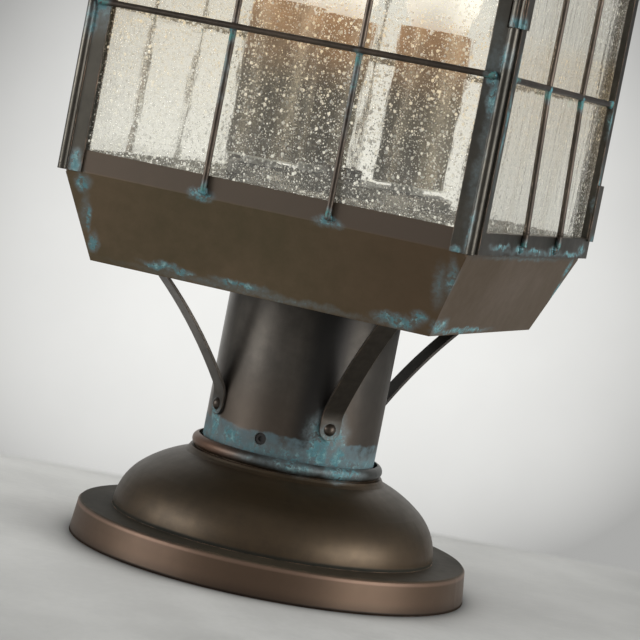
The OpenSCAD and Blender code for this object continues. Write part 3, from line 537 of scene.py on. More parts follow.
TRAY_SPOTS = [
    # Front
    ((-86, -93, 162), (5, 4, 6)),
    ((-82, -88, 147), (1.6, 3, 14)),
    ((-79.5, -84, 136), (3.0, 3, 9)),
    ((-46, -83, 132.4), (12, 4, 2.4)),
    ((-35, -83, 131.6), (7, 4, 1.7)),
    ((-7, -82.5, 131.6), (17, 4, 2.2)),
    ((66, -82.5, 131.6), (13, 4, 4.0)),
    ((76, -83, 135), (5, 4, 4.5)),
    ((89, -91, 153), (3.5, 5, 20), 0.62),
    ((-29, -95, 167.5), (8, 3, 3)),
    ((31, -95, 167.5), (8, 3, 3)),
    ((84, -90, 149), (5, 6, 19), 0.50),
    ((-84, -90, 149), (4, 6, 18), 0.45),
    ((0, -82, 129.5), (86, 5, 2.4), 0.42),
    # Right
    ((95, 0, 165.2), (4, 100, 1.8), 0.55),
    ((83, -74, 132), (4, 14, 5)),
    ((82, -35, 129.6), (4, 55, 1.8)),
    ((93, 85, 161), (4, 5, 7)),
    ((88, 88, 148), (5, 4, 12)),
    # Back and left
    ((40, 83, 132), (16, 4, 2.6)),
    ((-60, 83, 132), (12, 4, 3.2)),
    ((-84, 40, 133), (4, 15, 3.0)),
    ((-84, -20, 131.6), (4, 20, 2.2)),
    ((-88, 88, 150), (4, 4, 14)),
]
POST_SPOTS = [
    ((-90, -96, 170), (4, 3, 8)),
    ((-96, -90, 170), (3, 4, 7)),
    ((-95, -96, 233), (5, 3, 10)),
    ((-91, -96, 240), (5, 3, 4)),
    ((-95, -95, 320), (5, 5, 14)),
    ((-92, -96, 309), (5, 3, 4)),
    ((90, -96, 167), (4, 3, 2.4)),
    ((92.5, -97, 205), (3.5, 3, 40), 0.42),
    ((90, -97, 250), (6, 3, 26), 0.36),
    ((-87, -97, 236), (9, 3, 12), 0.45),
    ((95, -96, 176), (2.4, 3, 12)),
    ((93, -96, 232), (3.0, 3, 11)),
    ((91, -96, 240), (4, 3, 4)),
    ((95, -96, 250), (4, 3, 8)),
    ((94, -96, 300), (4, 3, 16), 0.6),
    ((-90, 96, 171), (4, 3, 8)),
    ((-96, 90, 240), (3, 4, 8)),
    ((-90, 96, 306), (5, 3, 7)),
    ((92, 96, 180), (3, 3, 12)),
    ((92, 96, 300), (3, 3, 14)),
]
DOOR_SPOTS = [
    ((99, 0, 168.4), (3, 98, 2.2), 0.55),
    ((99, -89, 210), (3, 3, 44), 0.42),
    ((99, -62, 170.6), (3, 20, 1.8)),
    ((99, -30, 169.6), (3, 13, 3)),
    ((99, -4, 169.4), (3, 20, 1.5)),
    ((99, 28, 169.8), (3, 12, 3)),
    ((99, 62, 168.4), (3, 24, 1.8)),
    ((99, -86, 247), (3, 3.5, 11)),
    ((99, -90, 222), (3, 2, 22)),
    ((99, 88, 234), (3, 2.2, 9)),
    ((99, 89, 196), (3, 2.4, 22)),
    ((99, 80, 171), (3, 9, 3)),
    ((99, -29.4, 374), (3, 10, 4)),
    ((99, 29.4, 374), (3, 10, 4)),
    ((99, -88, 306), (3, 3, 10)),
    ((99, 88, 330), (3, 2.5, 12)),
]
SLEEVE_SPOTS = [
    ((0, 0, 56.0), (220, 220, 7.4), 0.62),
    ((-26, -31, 62), (5, 6, 7)),
    ((-16, -38, 60), (11, 6, 5)),
    ((26, -31, 60), (7, 6, 6.5)),
    ((32, -25, 58), (4, 5, 8)),
    ((28, -30, 70), (13, 11, 12), 1.0),
    ((24, -33, 62), (5, 5, 8), 1.15),
    ((33, -24, 61), (3, 4, 8), 1.15),
    ((-28, -29, 67), (5, 6, 8)),
    ((28, 30, 68), (8, 6, 8)),
    ((-28, 30, 68), (8, 6, 8)),
]
COVER_SPOTS = [
    ((38, -26, 53), (14, 18, 5), 0.95),
    ((22, -41, 53), (24, 10, 4.5), 0.72),
    ((2, -47, 53), (18, 5, 3), 0.55),
    ((-20, 42, 53), (22, 8, 2.4)),
    ((-45, -8, 53.5), (5, 12, 1.6)),
]
BRACE_SPOTS = [
    ((right * 28.12, back * 30, 69), (8, 8, 7), 0.62) for right in (1, -1) for back in (1, -1)
]

# Where the grids' rods stand, in millimetres
ROD_XS = (-27.7, 31.1)
DOOR_ROD_YS = (-29.4, 29.4)
ROD_ZS = (241.8, 307.3)


def rod_spots():
    """Bloom on the fixed grids, at their crossings and ends and up from the tray."""
    spots = []
    for z in ROD_ZS:
        for x in ROD_XS:
            spots += [((x, -97, z - 4.0), (3, 3, 4.5)), ((x, 97, z + 3.5), (3, 3, 5))]
        spots += [((-97, y, z - 3), (3, 3, 5)) for y in DOOR_ROD_YS]
        spots += [((x, y, z), (5, 3, 3)) for x in (-90, 91) for y in (-98, 98)]
    for x in ROD_XS:
        spots += [((x, -96, 170), (3, 4, 4.5)), ((x, 96, 170), (3, 4, 5)),
                  ((x - 0.4, -96, 226), (2.5, 3, 24), 0.75)]
    spots += [((-96, y, 170), (4, 3, 5)) for y in DOOR_ROD_YS]
    return spots


def door_rod_spots():
    """Bloom on the door's grid, at its crossings and ends."""
    spots = [((100, y, 171), (4, 3, 5)) for y in DOOR_ROD_YS]
    spots += [((98, y, z - 3.4), (4, 3, 4)) for y in DOOR_ROD_YS for z in ROD_ZS]
    spots += [((98, y, z), (3, 5, 3)) for y in (-84, 84) for z in ROD_ZS]
    return spots


# COPPER WORK

class LANTERN_OT_pier_cover(bpy.types.Operator):
    """Finishes the spun pier cover, the sleeve and what stands inside them"""

    bl_idname = "lantern.pier_cover"
    bl_label = "Pier cover and sleeve"

    def execute(self, context):
        tones = context.scene.lantern.copper
        paint(copper("spun_copper", tones.spun_dark, tones.spun_light, grain="turned",
                     rough=0.42, spots=COVER_SPOTS, edge=0.9, metal=0.6, tinted=cover_tint),
              "pier_cover")
        paint(copper("sleeve_copper", tones.sleeve_dark, tones.sleeve_light, rough=0.36,
                     spots=SLEEVE_SPOTS, edge=0.7, metal=0.6, tinted=sleeve_tint,
                     streak=0.05),
              "fitter_sleeve")
        paint(copper("brace_copper", tones.sleeve_dark, tones.sleeve_light, rough=0.40,
                     spots=BRACE_SPOTS, edge=0.6),
              "brace_front_left", "brace_front_right")
        # Painted shade: the rear braces get a darker copy of the brace copper
        dark = [c * 0.35 for c in tones.sleeve_dark]
        paint(copper("shaded_brace_copper", dark, tones.sleeve_dark, rough=0.50,
                     spots=BRACE_SPOTS, edge=0.5, metal=0.5),
              "brace_rear_right", "brace_rear_left")
        paint(copper("rivet_copper", tones.rod_dark, tones.rod_light, rough=0.34, edge=0.9),
              "brace_foot_rivets", "brace_tab_rivets")
        paint(zinc_steel(), "fixing_plate", "stub_post")
        paint(black_screw(), "set_screws")
        return {"FINISHED"}


def zinc_steel():
    """Zinc-coated steel with its spangle, dull where dust lies."""
    bench = Bench("zinc_steel")
    spangle, number = bench.cells(bench.place, 130.0)
    dust = bench.noise(bench.place, 60.0, 5.0, 0.65)
    face = bench.mix(number, (0.36, 0.37, 0.38), (0.52, 0.53, 0.54))
    face = bench.mix(bench.step(dust, 0.52, 0.72, 0.0, 0.5), face, (0.30, 0.28, 0.25))
    relief = bench.bump(bench.math("ADD", spangle, dust), 0.02 * MM)
    return bench.done(bench.principled(
        Base_Color=face, Metallic=0.8, Roughness=bench.step(number, 0.0, 1.0, 0.34, 0.52),
        Normal=relief.outputs[0]))


def black_screw():
    """Blackened steel with a little dust."""
    bench = Bench("black_screw")
    dust = bench.noise(bench.place, 700.0, 4.0, 0.6)
    face = bench.mix(dust, (0.012, 0.012, 0.013), (0.045, 0.040, 0.036))
    return bench.done(bench.principled(
        Base_Color=face, Metallic=0.6, Roughness=bench.step(dust, 0.3, 0.7, 0.38, 0.58),
        Normal=bench.bump(dust, 0.02 * MM).outputs[0]))


class LANTERN_OT_body_sheet(bpy.types.Operator):
    """Finishes the tray, the four corner posts and the top frame"""

    bl_idname = "lantern.body_sheet"
    bl_label = "Tray, posts and top frame"

    def execute(self, context):
        tones = context.scene.lantern.copper
        paint(copper("tray_copper", tones.olive_dark, tones.olive_light, grain="mottled",
                     rough=0.44, spots=TRAY_SPOTS, edge=0.5, metal=0.55, tinted=tray_tint,
                     streak=0.0, relief_mm=0.008),
              "tray")
        paint(copper("post_copper", tones.dark, tones.light, rough=0.31, spots=POST_SPOTS,
                     edge=0.8),
              "post_front_left", "post_rear_left", "hinge_post", "catch_post", "top_frame")
        return {"FINISHED"}


class LANTERN_OT_door(bpy.types.Operator):
    """Finishes the door frame, its rolled knuckles and both pins"""

    bl_idname = "lantern.door"
    bl_label = "Door, hinge and catch"

    def execute(self, context):
        tones = context.scene.lantern.copper
        paint(copper("door_copper", tones.dark, tones.light, rough=0.36, spots=DOOR_SPOTS,
                     edge=0.7),
              "door_frame")
        knuckles = [((98, -96, 264), (6, 8, 5)), ((98, -96, 290), (4, 4, 3)),
                    ((98, 94, 176), (5, 6, 4)), ((98, 94, 372), (5, 6, 4))]
        paint(copper("knuckle_copper", tones.dark, tones.light, rough=0.36, spots=knuckles,
                     edge=0.8),
              "hinge_knuckle_low", "hinge_knuckle_high", "catch_knuckle")
        paint(copper("pin_brass", tones.rod_dark, tones.rod_light, rough=0.30, edge=0.2),
              "hinge_pin", "catch_pin")
        return {"FINISHED"}


class LANTERN_OT_roof(bpy.types.Operator):
    """Finishes the roof, the vent drum, its cap and the finial"""

    bl_idname = "lantern.roof"
    bl_label = "Roof and vent"

    def execute(self, context):
        tones = context.scene.lantern.copper
        roof = quarter_turns([((-107, -107, 388), (8, 8, 7)), ((-75, -75, 415), (5, 5, 18)),
                              ((20, -112, 386), (30, 5, 3)), ((-30, -34, 446), (12, 5, 4))])
        paint(copper("roof_copper", tones.olive_dark, tones.olive_light, rough=0.42,
                     spots=roof, edge=0.5),
              "roof")
        vent = [((0, 0, 448), (34, 34, 3.5)), ((20, -30, 473), (16, 14, 4)),
                ((-34, 12, 475), (10, 16, 4)), ((3, -2, 490), (9, 9, 4))]
        paint(copper("vent_copper", tones.olive_dark, tones.olive_light, grain="turned",
                     rough=0.40, spots=vent, edge=0.6),
              "vent_drum", "vent_cap")
        paint(copper("finial_copper", tones.spun_dark, tones.spun_light, grain="turned",
                     rough=0.32, spots=vent, edge=0.6),
              "finial")
        return {"FINISHED"}


# RODS AND SOLDER

FULL_TURN = 6.28

# Beads of a fixed grid, as (out from the middle, height, three half sizes) in millimetres,
# where a height counts from the crossing or, at the rods' ends, from the ground
CROSSING_BEAD = (96.8, -0.5, 1.9, 1.5, 2.4)
POST_BEAD = (97.0, 0.0, 2.0, 1.6, 1.9)
END_BEADS = ((96.2, 169.4, 2.2, 1.2, 1.8), (96.2, 379.7, 2.2, 1.2, 1.8))
POST_XS = (-91.5, 91.5)

# Beads of the door, as (height, out from the middle) along its rods, and at its stiles
DOOR_ROD_BEADS = ((170.2, 99.2), (241.3, 97.5), (306.8, 97.5), (379.0, 99.2))
STILE_OUT, STILE_YS = 97.2, (-86.4, 86.4)


def solder_bead(bm, centre, radii, chance):
    """One uneven bead of solder, in millimetres."""
    made = bmesh.ops.create_icosphere(bm, subdivisions=2, radius=1.0)
    phase = [chance.uniform(0, FULL_TURN) for _ in range(3)]
    for vertex in made["verts"]:
        x, y, z = vertex.co
        swell = 1 + 0.10 * math.sin(3 * x + phase[0]) + 0.10 * math.sin(4 * z + phase[1])
        swell += 0.07 * math.sin(5 * y + phase[2])
        vertex.co = [(c + r * swell * v) * MM for c, r, v in zip(centre, radii, (x, y, z))]


def turned_to(side, x, y):
    """A front point (x, y) in millimetres, carried round to the rear or the left."""
    return {"front": (x, y), "rear": (-x, -y), "left": (y, -x)}[side]


class LANTERN_OT_grids(bpy.types.Operator):
    """Finishes the grid rods and lays a bead of solder at each crossing and end"""

    bl_idname = "lantern.grids"
    bl_label = "Grid rods and solder"

    def execute(self, context):
        tones = context.scene.lantern.copper
        paint(copper("rod_copper", tones.rod_dark, tones.rod_light, rough=0.34,
                     spots=rod_spots(), edge=0.3, green=0.7),
              "front_grid", "rear_grid", "left_grid")
        paint(copper("door_rod_copper", tones.rod_dark, tones.rod_light, rough=0.34,
                     spots=door_rod_spots(), edge=0.3, green=0.6),
              "door_grid")
        bead = solder()
        chance = random.Random(tones.solder_seed)
        size = tones.solder_r / MM / 2.0
        rows = {"front": ROD_XS, "rear": [-x for x in ROD_XS], "left": DOOR_ROD_YS}
        for side, xs in rows.items():
            bm = bmesh.new()
            beads = [(x, z, CROSSING_BEAD) for x in xs for z in ROD_ZS]
            beads += [(x, 0.0, end) for end in END_BEADS for x in xs]
            beads += [(x, z, POST_BEAD) for x in POST_XS for z in ROD_ZS]
            for x, z, (out, rise, rx, ry, rz) in beads:
                grow = size * chance.uniform(0.85, 1.1)
                at = turned_to(side, x, -out)
                radii = (ry, rx) if side == "left" else (rx, ry)
                solder_bead(bm, (*at, z + rise), [r * grow for r in (*radii, rz)], chance)
            mesh_piece(f"{side}_solder", bm, bead, BODY)
        bm = bmesh.new()
        for y in DOOR_ROD_YS:
            for z, out in DOOR_ROD_BEADS:
                solder_bead(bm, (out, y, z), [1.5 * size, 1.9 * size, 2.3 * size], chance)
        for y in STILE_YS:
            for z in ROD_ZS:
                radii = [1.5 * size, 1.7 * size, 1.9 * size]
                solder_bead(bm, (STILE_OUT, y, z), radii, chance)
        mesh_piece("door_solder", bm, bead, DOOR)
        return {"FINISHED"}


def solder():
    """Dark solder, mostly under verdigris."""
    tones = bpy.context.scene.lantern.copper
    bench = Bench("aged_solder")
    blotch = bench.noise(bench.place, 330.0, 4.0, 0.65)
    face = bench.mix(bench.step(blotch, 0.40, 0.60), (0.075, 0.062, 0.052), tones.verdigris)
    face = bench.mix(bench.step(blotch, 0.60, 0.74), face, tones.verdigris_pale)
    return bench.done(bench.principled(
        Base_Color=face, Metallic=0.35, Roughness=bench.step(blotch, 0.35, 0.65, 0.4, 0.75),
        Normal=bench.bump(blotch, 0.15 * MM).outputs[0]))


# GLASS

# Seeds, as the spacing against the setting, the smallest and largest radius against that
# spacing, and the share of places that hold one
LARGE_SEEDS = (1.10, 0.17, 0.37, 0.58)
SMALL_SEEDS = (0.50, 0.17, 0.36, 0.80)
FINE_SEEDS = (0.29, 0.20, 0.42, 0.60)
SHADOW_TINT = (0.86, 0.86, 0.83)


def seedy_glass(settings):
    """Drawn glass full of fine bubbles, which scatter what is seen through them.

    The bubbles glow with painted glints for the lamps' light, warmer near the lamps, and a
    thin veil of painted glow lies over the pane.
    """
    bench = Bench("seedy_glass")
    flat = bench.vector("MULTIPLY", bench.place_mm, (1.0, 1.0, 0.88))
    gap = settings.seed_gap / MM

    def seeds(pitch, smallest, largest, share):
        distance, number = bench.cells(flat, 1.0 / (gap * pitch))
        radius = bench.step(number, 1.0 - share, 1.0, smallest, largest)
        shown = bench.math("GREATER_THAN", number, 1.0 - share)
        inside = bench.math("DIVIDE", distance, radius)
        dome = bench.math("SUBTRACT", 1.0, bench.math("MULTIPLY", inside, inside))
        dome = bench.math("MAXIMUM", dome, 0.0)
        disc = bench.math("MULTIPLY", bench.step(inside, 1.05, 0.70), shown)
        chance = bench.math("FRACT", bench.math("MULTIPLY", number, 37.0))
        spark = bench.math("MULTIPLY", disc, bench.step(chance, 0.30, 0.85, 0.04, 1.0))
        return bench.math("MULTIPLY", dome, shown), disc, spark

    large, large_disc, large_spark = seeds(*LARGE_SEEDS)
    small, small_disc, small_spark = seeds(*SMALL_SEEDS)
    fine_spark = seeds(*FINE_SEEDS)[2]
    drawn = bench.noise(bench.vector("MULTIPLY", bench.place_mm, (0.9, 0.9, 0.07)),
                        1.0, 4.0, 0.6)
    wave = bench.noise(bench.vector("MULTIPLY", bench.place_mm, (0.10, 0.10, 0.03)), 1.0, 2.0)
    depth = settings.seed_depth / MM
    height = bench.math("MULTIPLY", large, depth)
    height = bench.math("MULTIPLY_ADD", small, 0.5 * depth, height)
    height = bench.math("MULTIPLY_ADD", drawn, settings.ripple_depth / MM, height)
    height = bench.math("MULTIPLY_ADD", wave, 0.25, height)
    relief = bench.bump(height, MM)
    disc = bench.math("MAXIMUM", large_disc, small_disc)
    spark = bench.math("MAXIMUM", large_spark, small_spark)
    spark = bench.math("MAXIMUM", spark, bench.math("MULTIPLY", fine_spark, 0.4))
    spark = bench.math("MULTIPLY", spark, bench.step(drawn, 0.36, 0.62, 0.65, 1.0))
    # Painted glints and veil: an emission over the glass, warmer near the lamps
    covered = bench.math("MULTIPLY_ADD", spark, 0.90, settings.veil)
    z = bench.axes(bench.place_mm)[2]
    near_lamps = bench.math(
        "MULTIPLY", bench.step(z, CANDLE_TOP_Z - 75, CANDLE_TOP_Z - 5),
        bench.step(z, CANDLE_TOP_Z + 8, CANDLE_TOP_Z - 2, 0.15, 1.0))
    painted_glints = bench.glow(bench.mix(near_lamps, settings.spark, settings.spark_warm),
                        settings.spark_strength)
    glass = bench.principled(
        Base_Color=settings.tint, IOR=1.45, Transmission_Weight=1.0,
        Roughness=bench.math("MULTIPLY_ADD", disc, settings.seed_haze, 0.02),
        Normal=relief.outputs[0])
    glass = bench.mix_shaders(covered, glass, painted_glints)
    passing = bench.rays("Shadow", "Diffuse")
    return bench.done(bench.mix_shaders(passing, glass, bench.clear(SHADOW_TINT)))


class LANTERN_OT_glazing(bpy.types.Operator):
    """Glazes the front, back, left side and door with seedy glass"""

    bl_idname = "lantern.glazing"
    bl_label = "Seedy glass panes"

    def execute(self, context):
        settings = context.scene.lantern.glass
        paint(seedy_glass(settings), "front_glass", "rear_glass", "left_glass", "door_glass")
        return {"FINISHED"}


# LAMPS

class LANTERN_OT_lamps(bpy.types.Operator):
    """Finishes the candle sleeves, the lampholders, the lit lamps and their pan"""

    bl_idname = "lantern.lamps"
    bl_label = "Candles and lamps"

    def execute(self, context):
        settings = context.scene.lantern.lamp
        names = ("right", "front", "rear")
        paint(candle_bronze(settings), *[f"candle_{n}" for n in names])
        paint(holder_white(), *[f"lampholder_{n}" for n in names])
        paint(lamp_glass(settings), *[f"lamp_{n}" for n in names])
        tones = context.scene.lantern.copper
        paint(copper("pan_copper", tones.dark, tones.light, grain="turned", rough=0.42,
                     edge=0.5),
              "cluster_pan")
        paint(copper("stem_brass", tones.rod_dark, tones.rod_light, rough=0.36, edge=0.3),
              "cluster_stem", "stem_nuts")
        return {"FINISHED"}


def candle_bronze(settings):
    """Dark bronze sleeves, streaked down their length, with a painted lamp glow at the top."""
    bench = Bench("candle_bronze")
    blotch = bench.noise(bench.place, 70.0, 5.0, 0.6)
    run = bench.noise(bench.vector("MULTIPLY", bench.place, (300.0, 300.0, 22.0)), 1.0, 3.0)
    tone = bench.math("MULTIPLY_ADD", blotch, 0.5, bench.math("MULTIPLY", run, 0.5))
    face = bench.mix(bench.step(tone, 0.36, 0.62), settings.candle, (0.115, 0.095, 0.064))
    z = bench.axes(bench.place_mm)[2]
    # Painted glow of the lamps' light, an emission near the sleeves' tops
    glow = bench.step(z, CANDLE_TOP_Z - 40, CANDLE_TOP_Z, 0.0, 0.24)
    glow = bench.math("MULTIPLY", glow, bench.step(blotch, 0.3, 0.7, 0.6, 1.2))
    return bench.done(bench.principled(
        Base_Color=face, Metallic=0.55, Roughness=bench.step(tone, 0.3, 0.7, 0.38, 0.52),
        Emission_Color=(1.0, 0.46, 0.16), Emission_Strength=glow,
        Normal=bench.bump(run, 0.04 * MM).outputs[0]))


def holder_white():
    """White moulded lampholders."""
    bench = Bench("lampholder_white")
    blotch = bench.noise(bench.place, 160.0, 4.0, 0.5)
    face = bench.mix(blotch, (0.62, 0.60, 0.54), (0.74, 0.72, 0.66))
    return bench.done(bench.principled(
        Base_Color=face, Roughness=bench.step(blotch, 0.3, 0.7, 0.34, 0.46),
        Normal=bench.bump(blotch, 0.02 * MM).outputs[0]))


def lamp_glass(settings):
    """Pearl glass above the brass cap, lit from inside."""
    bench = Bench("lamp_glass")
    z = bench.axes(bench.place_mm)[2]
    pearl = bench.step(z, CANDLE_TOP_Z - 4, CANDLE_TOP_Z - 2)
    haze = bench.noise(bench.place, 90.0, 3.0, 0.5)
    face = bench.mix(pearl, (0.60, 0.45, 0.22), (0.85, 0.83, 0.78))
    lit = bench.step(z, CANDLE_TOP_Z - 2, CANDLE_TOP_Z + 14, 0.55, 1.0)
    lit = bench.math("MULTIPLY", bench.math("MULTIPLY", lit, pearl),
                     bench.step(haze, 0.2, 0.8, 0.85, 1.1))
    return bench.done(bench.principled(
        Base_Color=face, Roughness=0.30, Emission_Color=settings.glow,
        Emission_Strength=bench.math("MULTIPLY", lit, settings.strength)))


# STAGE

PALE = (0.74, 0.74, 0.725)
ROOM, ROOM_STRENGTH = (0.50, 0.50, 0.51), 0.62

# The backdrop's middle, direction, half width and height, in metres. It fades out between
# WALL_WHOLE and WALL_REACH from its middle.
WALL_AT = Vector((-0.0487, 0.1658, 0.0))
WALL_ALONG = Vector((0.9216, 0.3881, 0.0))
WALL_HALF, WALL_HEIGHT = 0.9, 0.9
WALL_WHOLE, WALL_REACH = 0.34, 0.5

# Its brightest point, to the left of its middle and up, in metres. Heights count for less
# than widths, and the brightness falls with the cube of the distance.
PEAK_LEFT, PEAK_UP, PEAK_SQUASH = 0.01, 0.08, 0.8
PEAK, PEAK_FALL = 0.923, 45.5

# The shade along its foot: at the middle, the gain to the right, and the fade upward
FOOT_SHADE, FOOT_SHADE_RIGHT, FOOT_FADE = 0.232, 0.735, 20.0

# The camera alone sees its outer part brighter
OUTER_FROM, OUTER_GAIN = 0.37, 0.34

# Brightness of the floor: the most, the least, and the change to the metre each way, which
# to the right starts at FLOOR_EVEN_X
FLOOR_MOST, FLOOR_LEAST = 1.15, 0.62
FLOOR_RIGHT, FLOOR_BEHIND, FLOOR_AHEAD = -1.5, -1.0, -1.6
FLOOR_EVEN_X = 0.04
FLOOR_REACH = 8.0

# The painted contact shadow on the floor round the rim: its depth, and its width in millimetres
CONTACT_SHADE_DEPTH, CONTACT_SHADE_WIDTH = 0.80, 6.0

# Lights, as (name, place, size, power) in metres and watts. The boxes light the surfaces,
# and the gleams show only as highlights.
BOXES = (
    ("left_box", (-1.28, -0.93, 0.50), (0.84, 0.56), 7.4),
    ("right_box", (1.37, 0.24, 0.70), (1.25, 0.55), 15.8),
    ("overhead_box", (-0.3, -0.2, 2.2), (1.6, 1.6), 25.0),
)
BOX_AIM = (0, 0, 0.1)
GLEAMS = (
    ("left_gleam", (-1.25, -0.98, 0.38), (0.84, 0.52), 13.5),
    ("right_gleam", (1.38, -0.23, 0.38), (1.06, 0.52), 12.0),
)
GLEAM_AIM = (0, 0, 0.05)


def backdrop_material(settings):
    """A pale wall that shows from the front only, brightest behind the lantern."""
    bench = Bench("backdrop")
    offset = bench.vector("SUBTRACT", bench.place, WALL_AT)
    away = bench.vector("LENGTH", offset)
    across = bench.vector("DOT_PRODUCT", offset, WALL_ALONG)
    up = bench.axes(bench.place)[2]
    aside = bench.math("ADD", across, PEAK_LEFT)
    above = bench.math("MULTIPLY_ADD", up, PEAK_SQUASH, -PEAK_UP * PEAK_SQUASH)
    spread = bench.math("SQRT", bench.math("MULTIPLY_ADD", aside, aside,
                                           bench.math("MULTIPLY", above, above)))
    cube = bench.math("MULTIPLY", bench.math("MULTIPLY", spread, spread), spread)
    bright = bench.math("MULTIPLY_ADD", cube, -PEAK_FALL, PEAK)
    foot = bench.math("EXPONENT", bench.math("MULTIPLY", up, -FOOT_FADE))
    shade = bench.math("MULTIPLY_ADD", bench.math("MAXIMUM", across, 0.0), FOOT_SHADE_RIGHT,
                       FOOT_SHADE)
    bright = bench.math("SUBTRACT", bright, bench.math("MULTIPLY", foot, shade))
    cloud = bench.noise(bench.place, 14.0, 5.0, 0.6)
    bright = bench.math("MULTIPLY", bright, bench.step(cloud, 0.3, 0.7, 0.985, 1.015))
    camera = bench.rays("Camera")
    least = bench.math("MULTIPLY", bench.step(camera, 0.0, 1.0, 0.4, 1.0),
                       settings.wall_dimmest)
    bright = bench.math("MAXIMUM", bright, least)
    outside = bench.math("MULTIPLY", bench.step(away, OUTER_FROM, WALL_REACH), camera)
    bright = bench.math("ADD", bright, bench.math("MULTIPLY", outside, OUTER_GAIN))
    glow = bench.glow(bench.scaled(settings.wall, bright))
    shown = bench.math("MULTIPLY", bench.step(up, 0.0, 0.003),
                       bench.step(away, WALL_REACH, WALL_WHOLE))
    back = bench.add("ShaderNodeNewGeometry").outputs["Backfacing"]
    shown = bench.math("MULTIPLY", shown, bench.math("SUBTRACT", 1.0, back))
    shown = bench.math("MULTIPLY", shown, bench.rays("Camera", "Glossy", "Transmission"))
    return bench.done(bench.mix_shaders(shown, bench.clear(), glow))


def floor_material(settings):
    """A pale painted board that fades into the background away from the lantern."""
    bench = Bench("floor")
    away = bench.vector("LENGTH", bench.place)
    smear = bench.noise(bench.place, 16.0, 5.0, 0.6)
    fine = bench.noise(bench.place, 260.0, 4.0, 0.6)
    tone = bench.math("MULTIPLY_ADD", smear, 0.75, bench.math("MULTIPLY", fine, 0.25))
    dull = [c * 0.86 for c in settings.floor]
    face = bench.mix(bench.step(tone, 0.35, 0.65), dull, settings.floor)

    x, y, _ = bench.axes(bench.place)
    right = bench.math("MAXIMUM", bench.math("SUBTRACT", x, FLOOR_EVEN_X), 0.0)
    ahead = bench.math("MAXIMUM", bench.math("MULTIPLY", y, -1.0), 0.0)
    behind = bench.math("MAXIMUM", y, 0.0)
    dim = bench.math("MULTIPLY_ADD", right, FLOOR_RIGHT, FLOOR_MOST)
    dim = bench.math("MULTIPLY_ADD", behind, FLOOR_BEHIND, dim)
    dim = bench.math("MULTIPLY_ADD", ahead, FLOOR_AHEAD, dim)
    dim = bench.math("MAXIMUM", dim, FLOOR_LEAST)
    # Painted contact shadow on the floor round the rim
    from_rim = bench.math("SUBTRACT", bench.math("DIVIDE", away, MM), COVER_R)
    from_rim = bench.math("MAXIMUM", from_rim, 0.0)
    contact_shade = bench.math("EXPONENT", bench.math("DIVIDE", from_rim, -CONTACT_SHADE_WIDTH))
    dim = bench.math("MULTIPLY", dim, bench.math("MULTIPLY_ADD", contact_shade, -CONTACT_SHADE_DEPTH, 1.0))
    board = bench.principled(
        Base_Color=bench.scaled(face, dim), Roughness=bench.step(tone, 0.3, 0.7, 0.5, 0.65),
        Specular_IOR_Level=0.3, Normal=bench.bump(tone, 0.05 * MM).outputs[0])

    mirrored = bench.math("MULTIPLY", bench.rays("Glossy"), bench.step(x, 0.25, -0.15))
    seen = bench.math("MAXIMUM", bench.rays("Camera", "Transmission"), mirrored)
    far = bench.math("MULTIPLY", bench.step(away, 0.30, 1.1), seen)
    return bench.done(bench.mix_shaders(far, board, bench.glow(PALE)))


def sheet_mesh(name, corners, material):
    """One flat sheet of the stage."""
    mesh = bpy.data.meshes.new(name)
    mesh.from_pydata([tuple(c) for c in corners], [], [tuple(range(len(corners)))])
    made = bpy.data.objects.new(name, mesh)
    bpy.context.scene.collection.objects.link(made)
    mesh.materials.append(material)
    return made


def soft_box(name, at, aim, size, power):
    """A large flat light at one point, that faces another."""
    data = bpy.data.lights.new(name, "AREA")
    data.shape = "RECTANGLE"
    data.size, data.size_y = size
    data.energy = power
    lamp = bpy.data.objects.new(name, data)
    bpy.context.scene.collection.objects.link(lamp)
    lamp.location = at
    lamp.rotation_euler = (Vector(aim) - Vector(at)).to_track_quat("-Z", "Y").to_euler()
    return lamp


class LANTERN_OT_stage(bpy.types.Operator):
    """Sets the floor, the backdrop, the soft light and the camera"""

    bl_idname = "lantern.stage"
    bl_label = "Stage and camera"

    def execute(self, context):
        scene = context.scene
        settings = scene.lantern.stage
        scene.view_settings.view_transform = "Standard"
        far = FLOOR_REACH
        sheet_mesh("floor", [(-far, -far, 0), (far, -far, 0), (far, far, 0), (-far, far, 0)],
                   floor_material(settings))
        low, high = WALL_AT - WALL_ALONG * WALL_HALF, WALL_AT + WALL_ALONG * WALL_HALF
        up = Vector((0, 0, WALL_HEIGHT))
        wall = sheet_mesh("backdrop", [low, high, high + up, low + up],
                          backdrop_material(settings))
        wall.visible_shadow = False
        wall.visible_diffuse = False
        set_world(scene)
        for name, at, size, power in BOXES:
            soft_box(name, at, BOX_AIM, size, power).visible_glossy = False
        for name, at, size, power in GLEAMS:
            soft_box(name, at, GLEAM_AIM, size, power).visible_diffuse = False
        scene.camera = photo_camera(settings)
        return {"FINISHED"}


def set_world(scene):
    """A dim even room for the light, and a pale one for the camera and through the glass."""
    world = bpy.data.worlds.new("studio")
    scene.world = world
    world.use_nodes = True
    tree = world.node_tree
    tree.nodes.clear()
    path = tree.nodes.new("ShaderNodeLightPath")
    seen = tree.nodes.new("ShaderNodeMath")
    seen.operation = "MAXIMUM"
    tree.links.new(path.outputs["Is Camera Ray"], seen.inputs[0])
    tree.links.new(path.outputs["Is Transmission Ray"], seen.inputs[1])
    room, pale = (tree.nodes.new("ShaderNodeBackground") for _ in range(2))
    room.inputs["Color"].default_value = (*ROOM, 1.0)
    room.inputs["Strength"].default_value = ROOM_STRENGTH
    pale.inputs["Color"].default_value = (*PALE, 1.0)
    mixed = tree.nodes.new("ShaderNodeMixShader")
    out = tree.nodes.new("ShaderNodeOutputWorld")
    tree.links.new(seen.outputs[0], mixed.inputs[0])
    tree.links.new(room.outputs[0], mixed.inputs[1])
    tree.links.new(pale.outputs[0], mixed.inputs[2])
    tree.links.new(mixed.outputs[0], out.inputs[0])


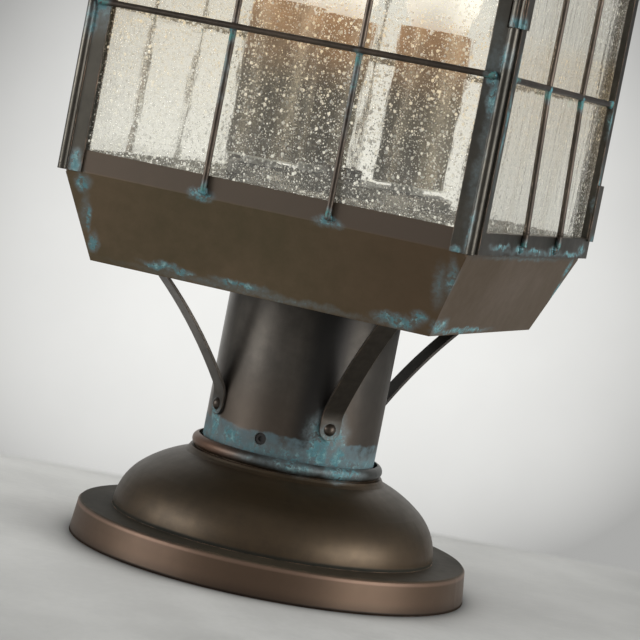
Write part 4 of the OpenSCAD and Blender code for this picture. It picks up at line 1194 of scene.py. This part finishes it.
def photo_camera(settings):
    """The camera at the photograph's place, leaning as it leaned."""
    data = bpy.data.cameras.new("photo_camera")
    data.sensor_fit = "HORIZONTAL"
    data.sensor_width = 36.0
    data.lens = settings.lens
    data.clip_start, data.clip_end = 0.05, 50.0
    camera = bpy.data.objects.new("photo_camera", data)
    bpy.context.scene.collection.objects.link(camera)
    yaw, pitch, roll = settings.yaw, settings.pitch, settings.roll
    ahead = Vector((-math.sin(yaw) * math.cos(pitch), math.cos(yaw) * math.cos(pitch),
                    -math.sin(pitch)))
    right = ahead.cross(Vector((0, 0, 1))).normalized()
    up = right.cross(ahead)
    leant_right = math.cos(roll) * right + math.sin(roll) * up
    leant_up = -math.sin(roll) * right + math.cos(roll) * up
    turn = Matrix((leant_right, leant_up, -ahead)).transposed().to_4x4()
    camera.matrix_world = Matrix.Translation(settings.camera_at) @ turn
    return camera


# PANEL

OPERATORS = (
    LANTERN_OT_stage, LANTERN_OT_pier_cover, LANTERN_OT_body_sheet, LANTERN_OT_door,
    LANTERN_OT_grids, LANTERN_OT_glazing, LANTERN_OT_lamps, LANTERN_OT_roof,
)


class LANTERN_PT_panel(bpy.types.Panel):
    """Lists the lantern's pieces in the order in which they are finished"""

    bl_idname = "LANTERN_PT_panel"
    bl_label = "Pedestal lantern"
    bl_space_type = "VIEW_3D"
    bl_region_type = "UI"
    bl_category = "Lantern"

    def draw(self, context):
        for operator in OPERATORS:
            self.layout.operator(operator.bl_idname)
        settings = context.scene.lantern
        for group in (settings.copper, settings.glass, settings.lamp, settings.stage):
            box = self.layout.box()
            for name in group.bl_rna.properties.keys():
                if name not in ("rna_type", "name"):
                    box.prop(group, name)


CLASSES = (
    CopperSettings, GlassSettings, LampSettings, StageSettings, LanternSettings,
    *OPERATORS, LANTERN_PT_panel,
)


def register():
    for made in CLASSES:
        bpy.utils.register_class(made)
    bpy.types.Scene.lantern = PointerProperty(type=LanternSettings)


def unregister():
    del bpy.types.Scene.lantern
    for made in reversed(CLASSES):
        bpy.utils.unregister_class(made)


def main():
    register()
    bpy.ops.lantern.stage()
    bpy.ops.lantern.pier_cover()
    bpy.ops.lantern.body_sheet()
    bpy.ops.lantern.door()
    bpy.ops.lantern.grids()
    bpy.ops.lantern.glazing()
    bpy.ops.lantern.lamps()
    bpy.ops.lantern.roof()


if __name__ == "__main__":
    main()
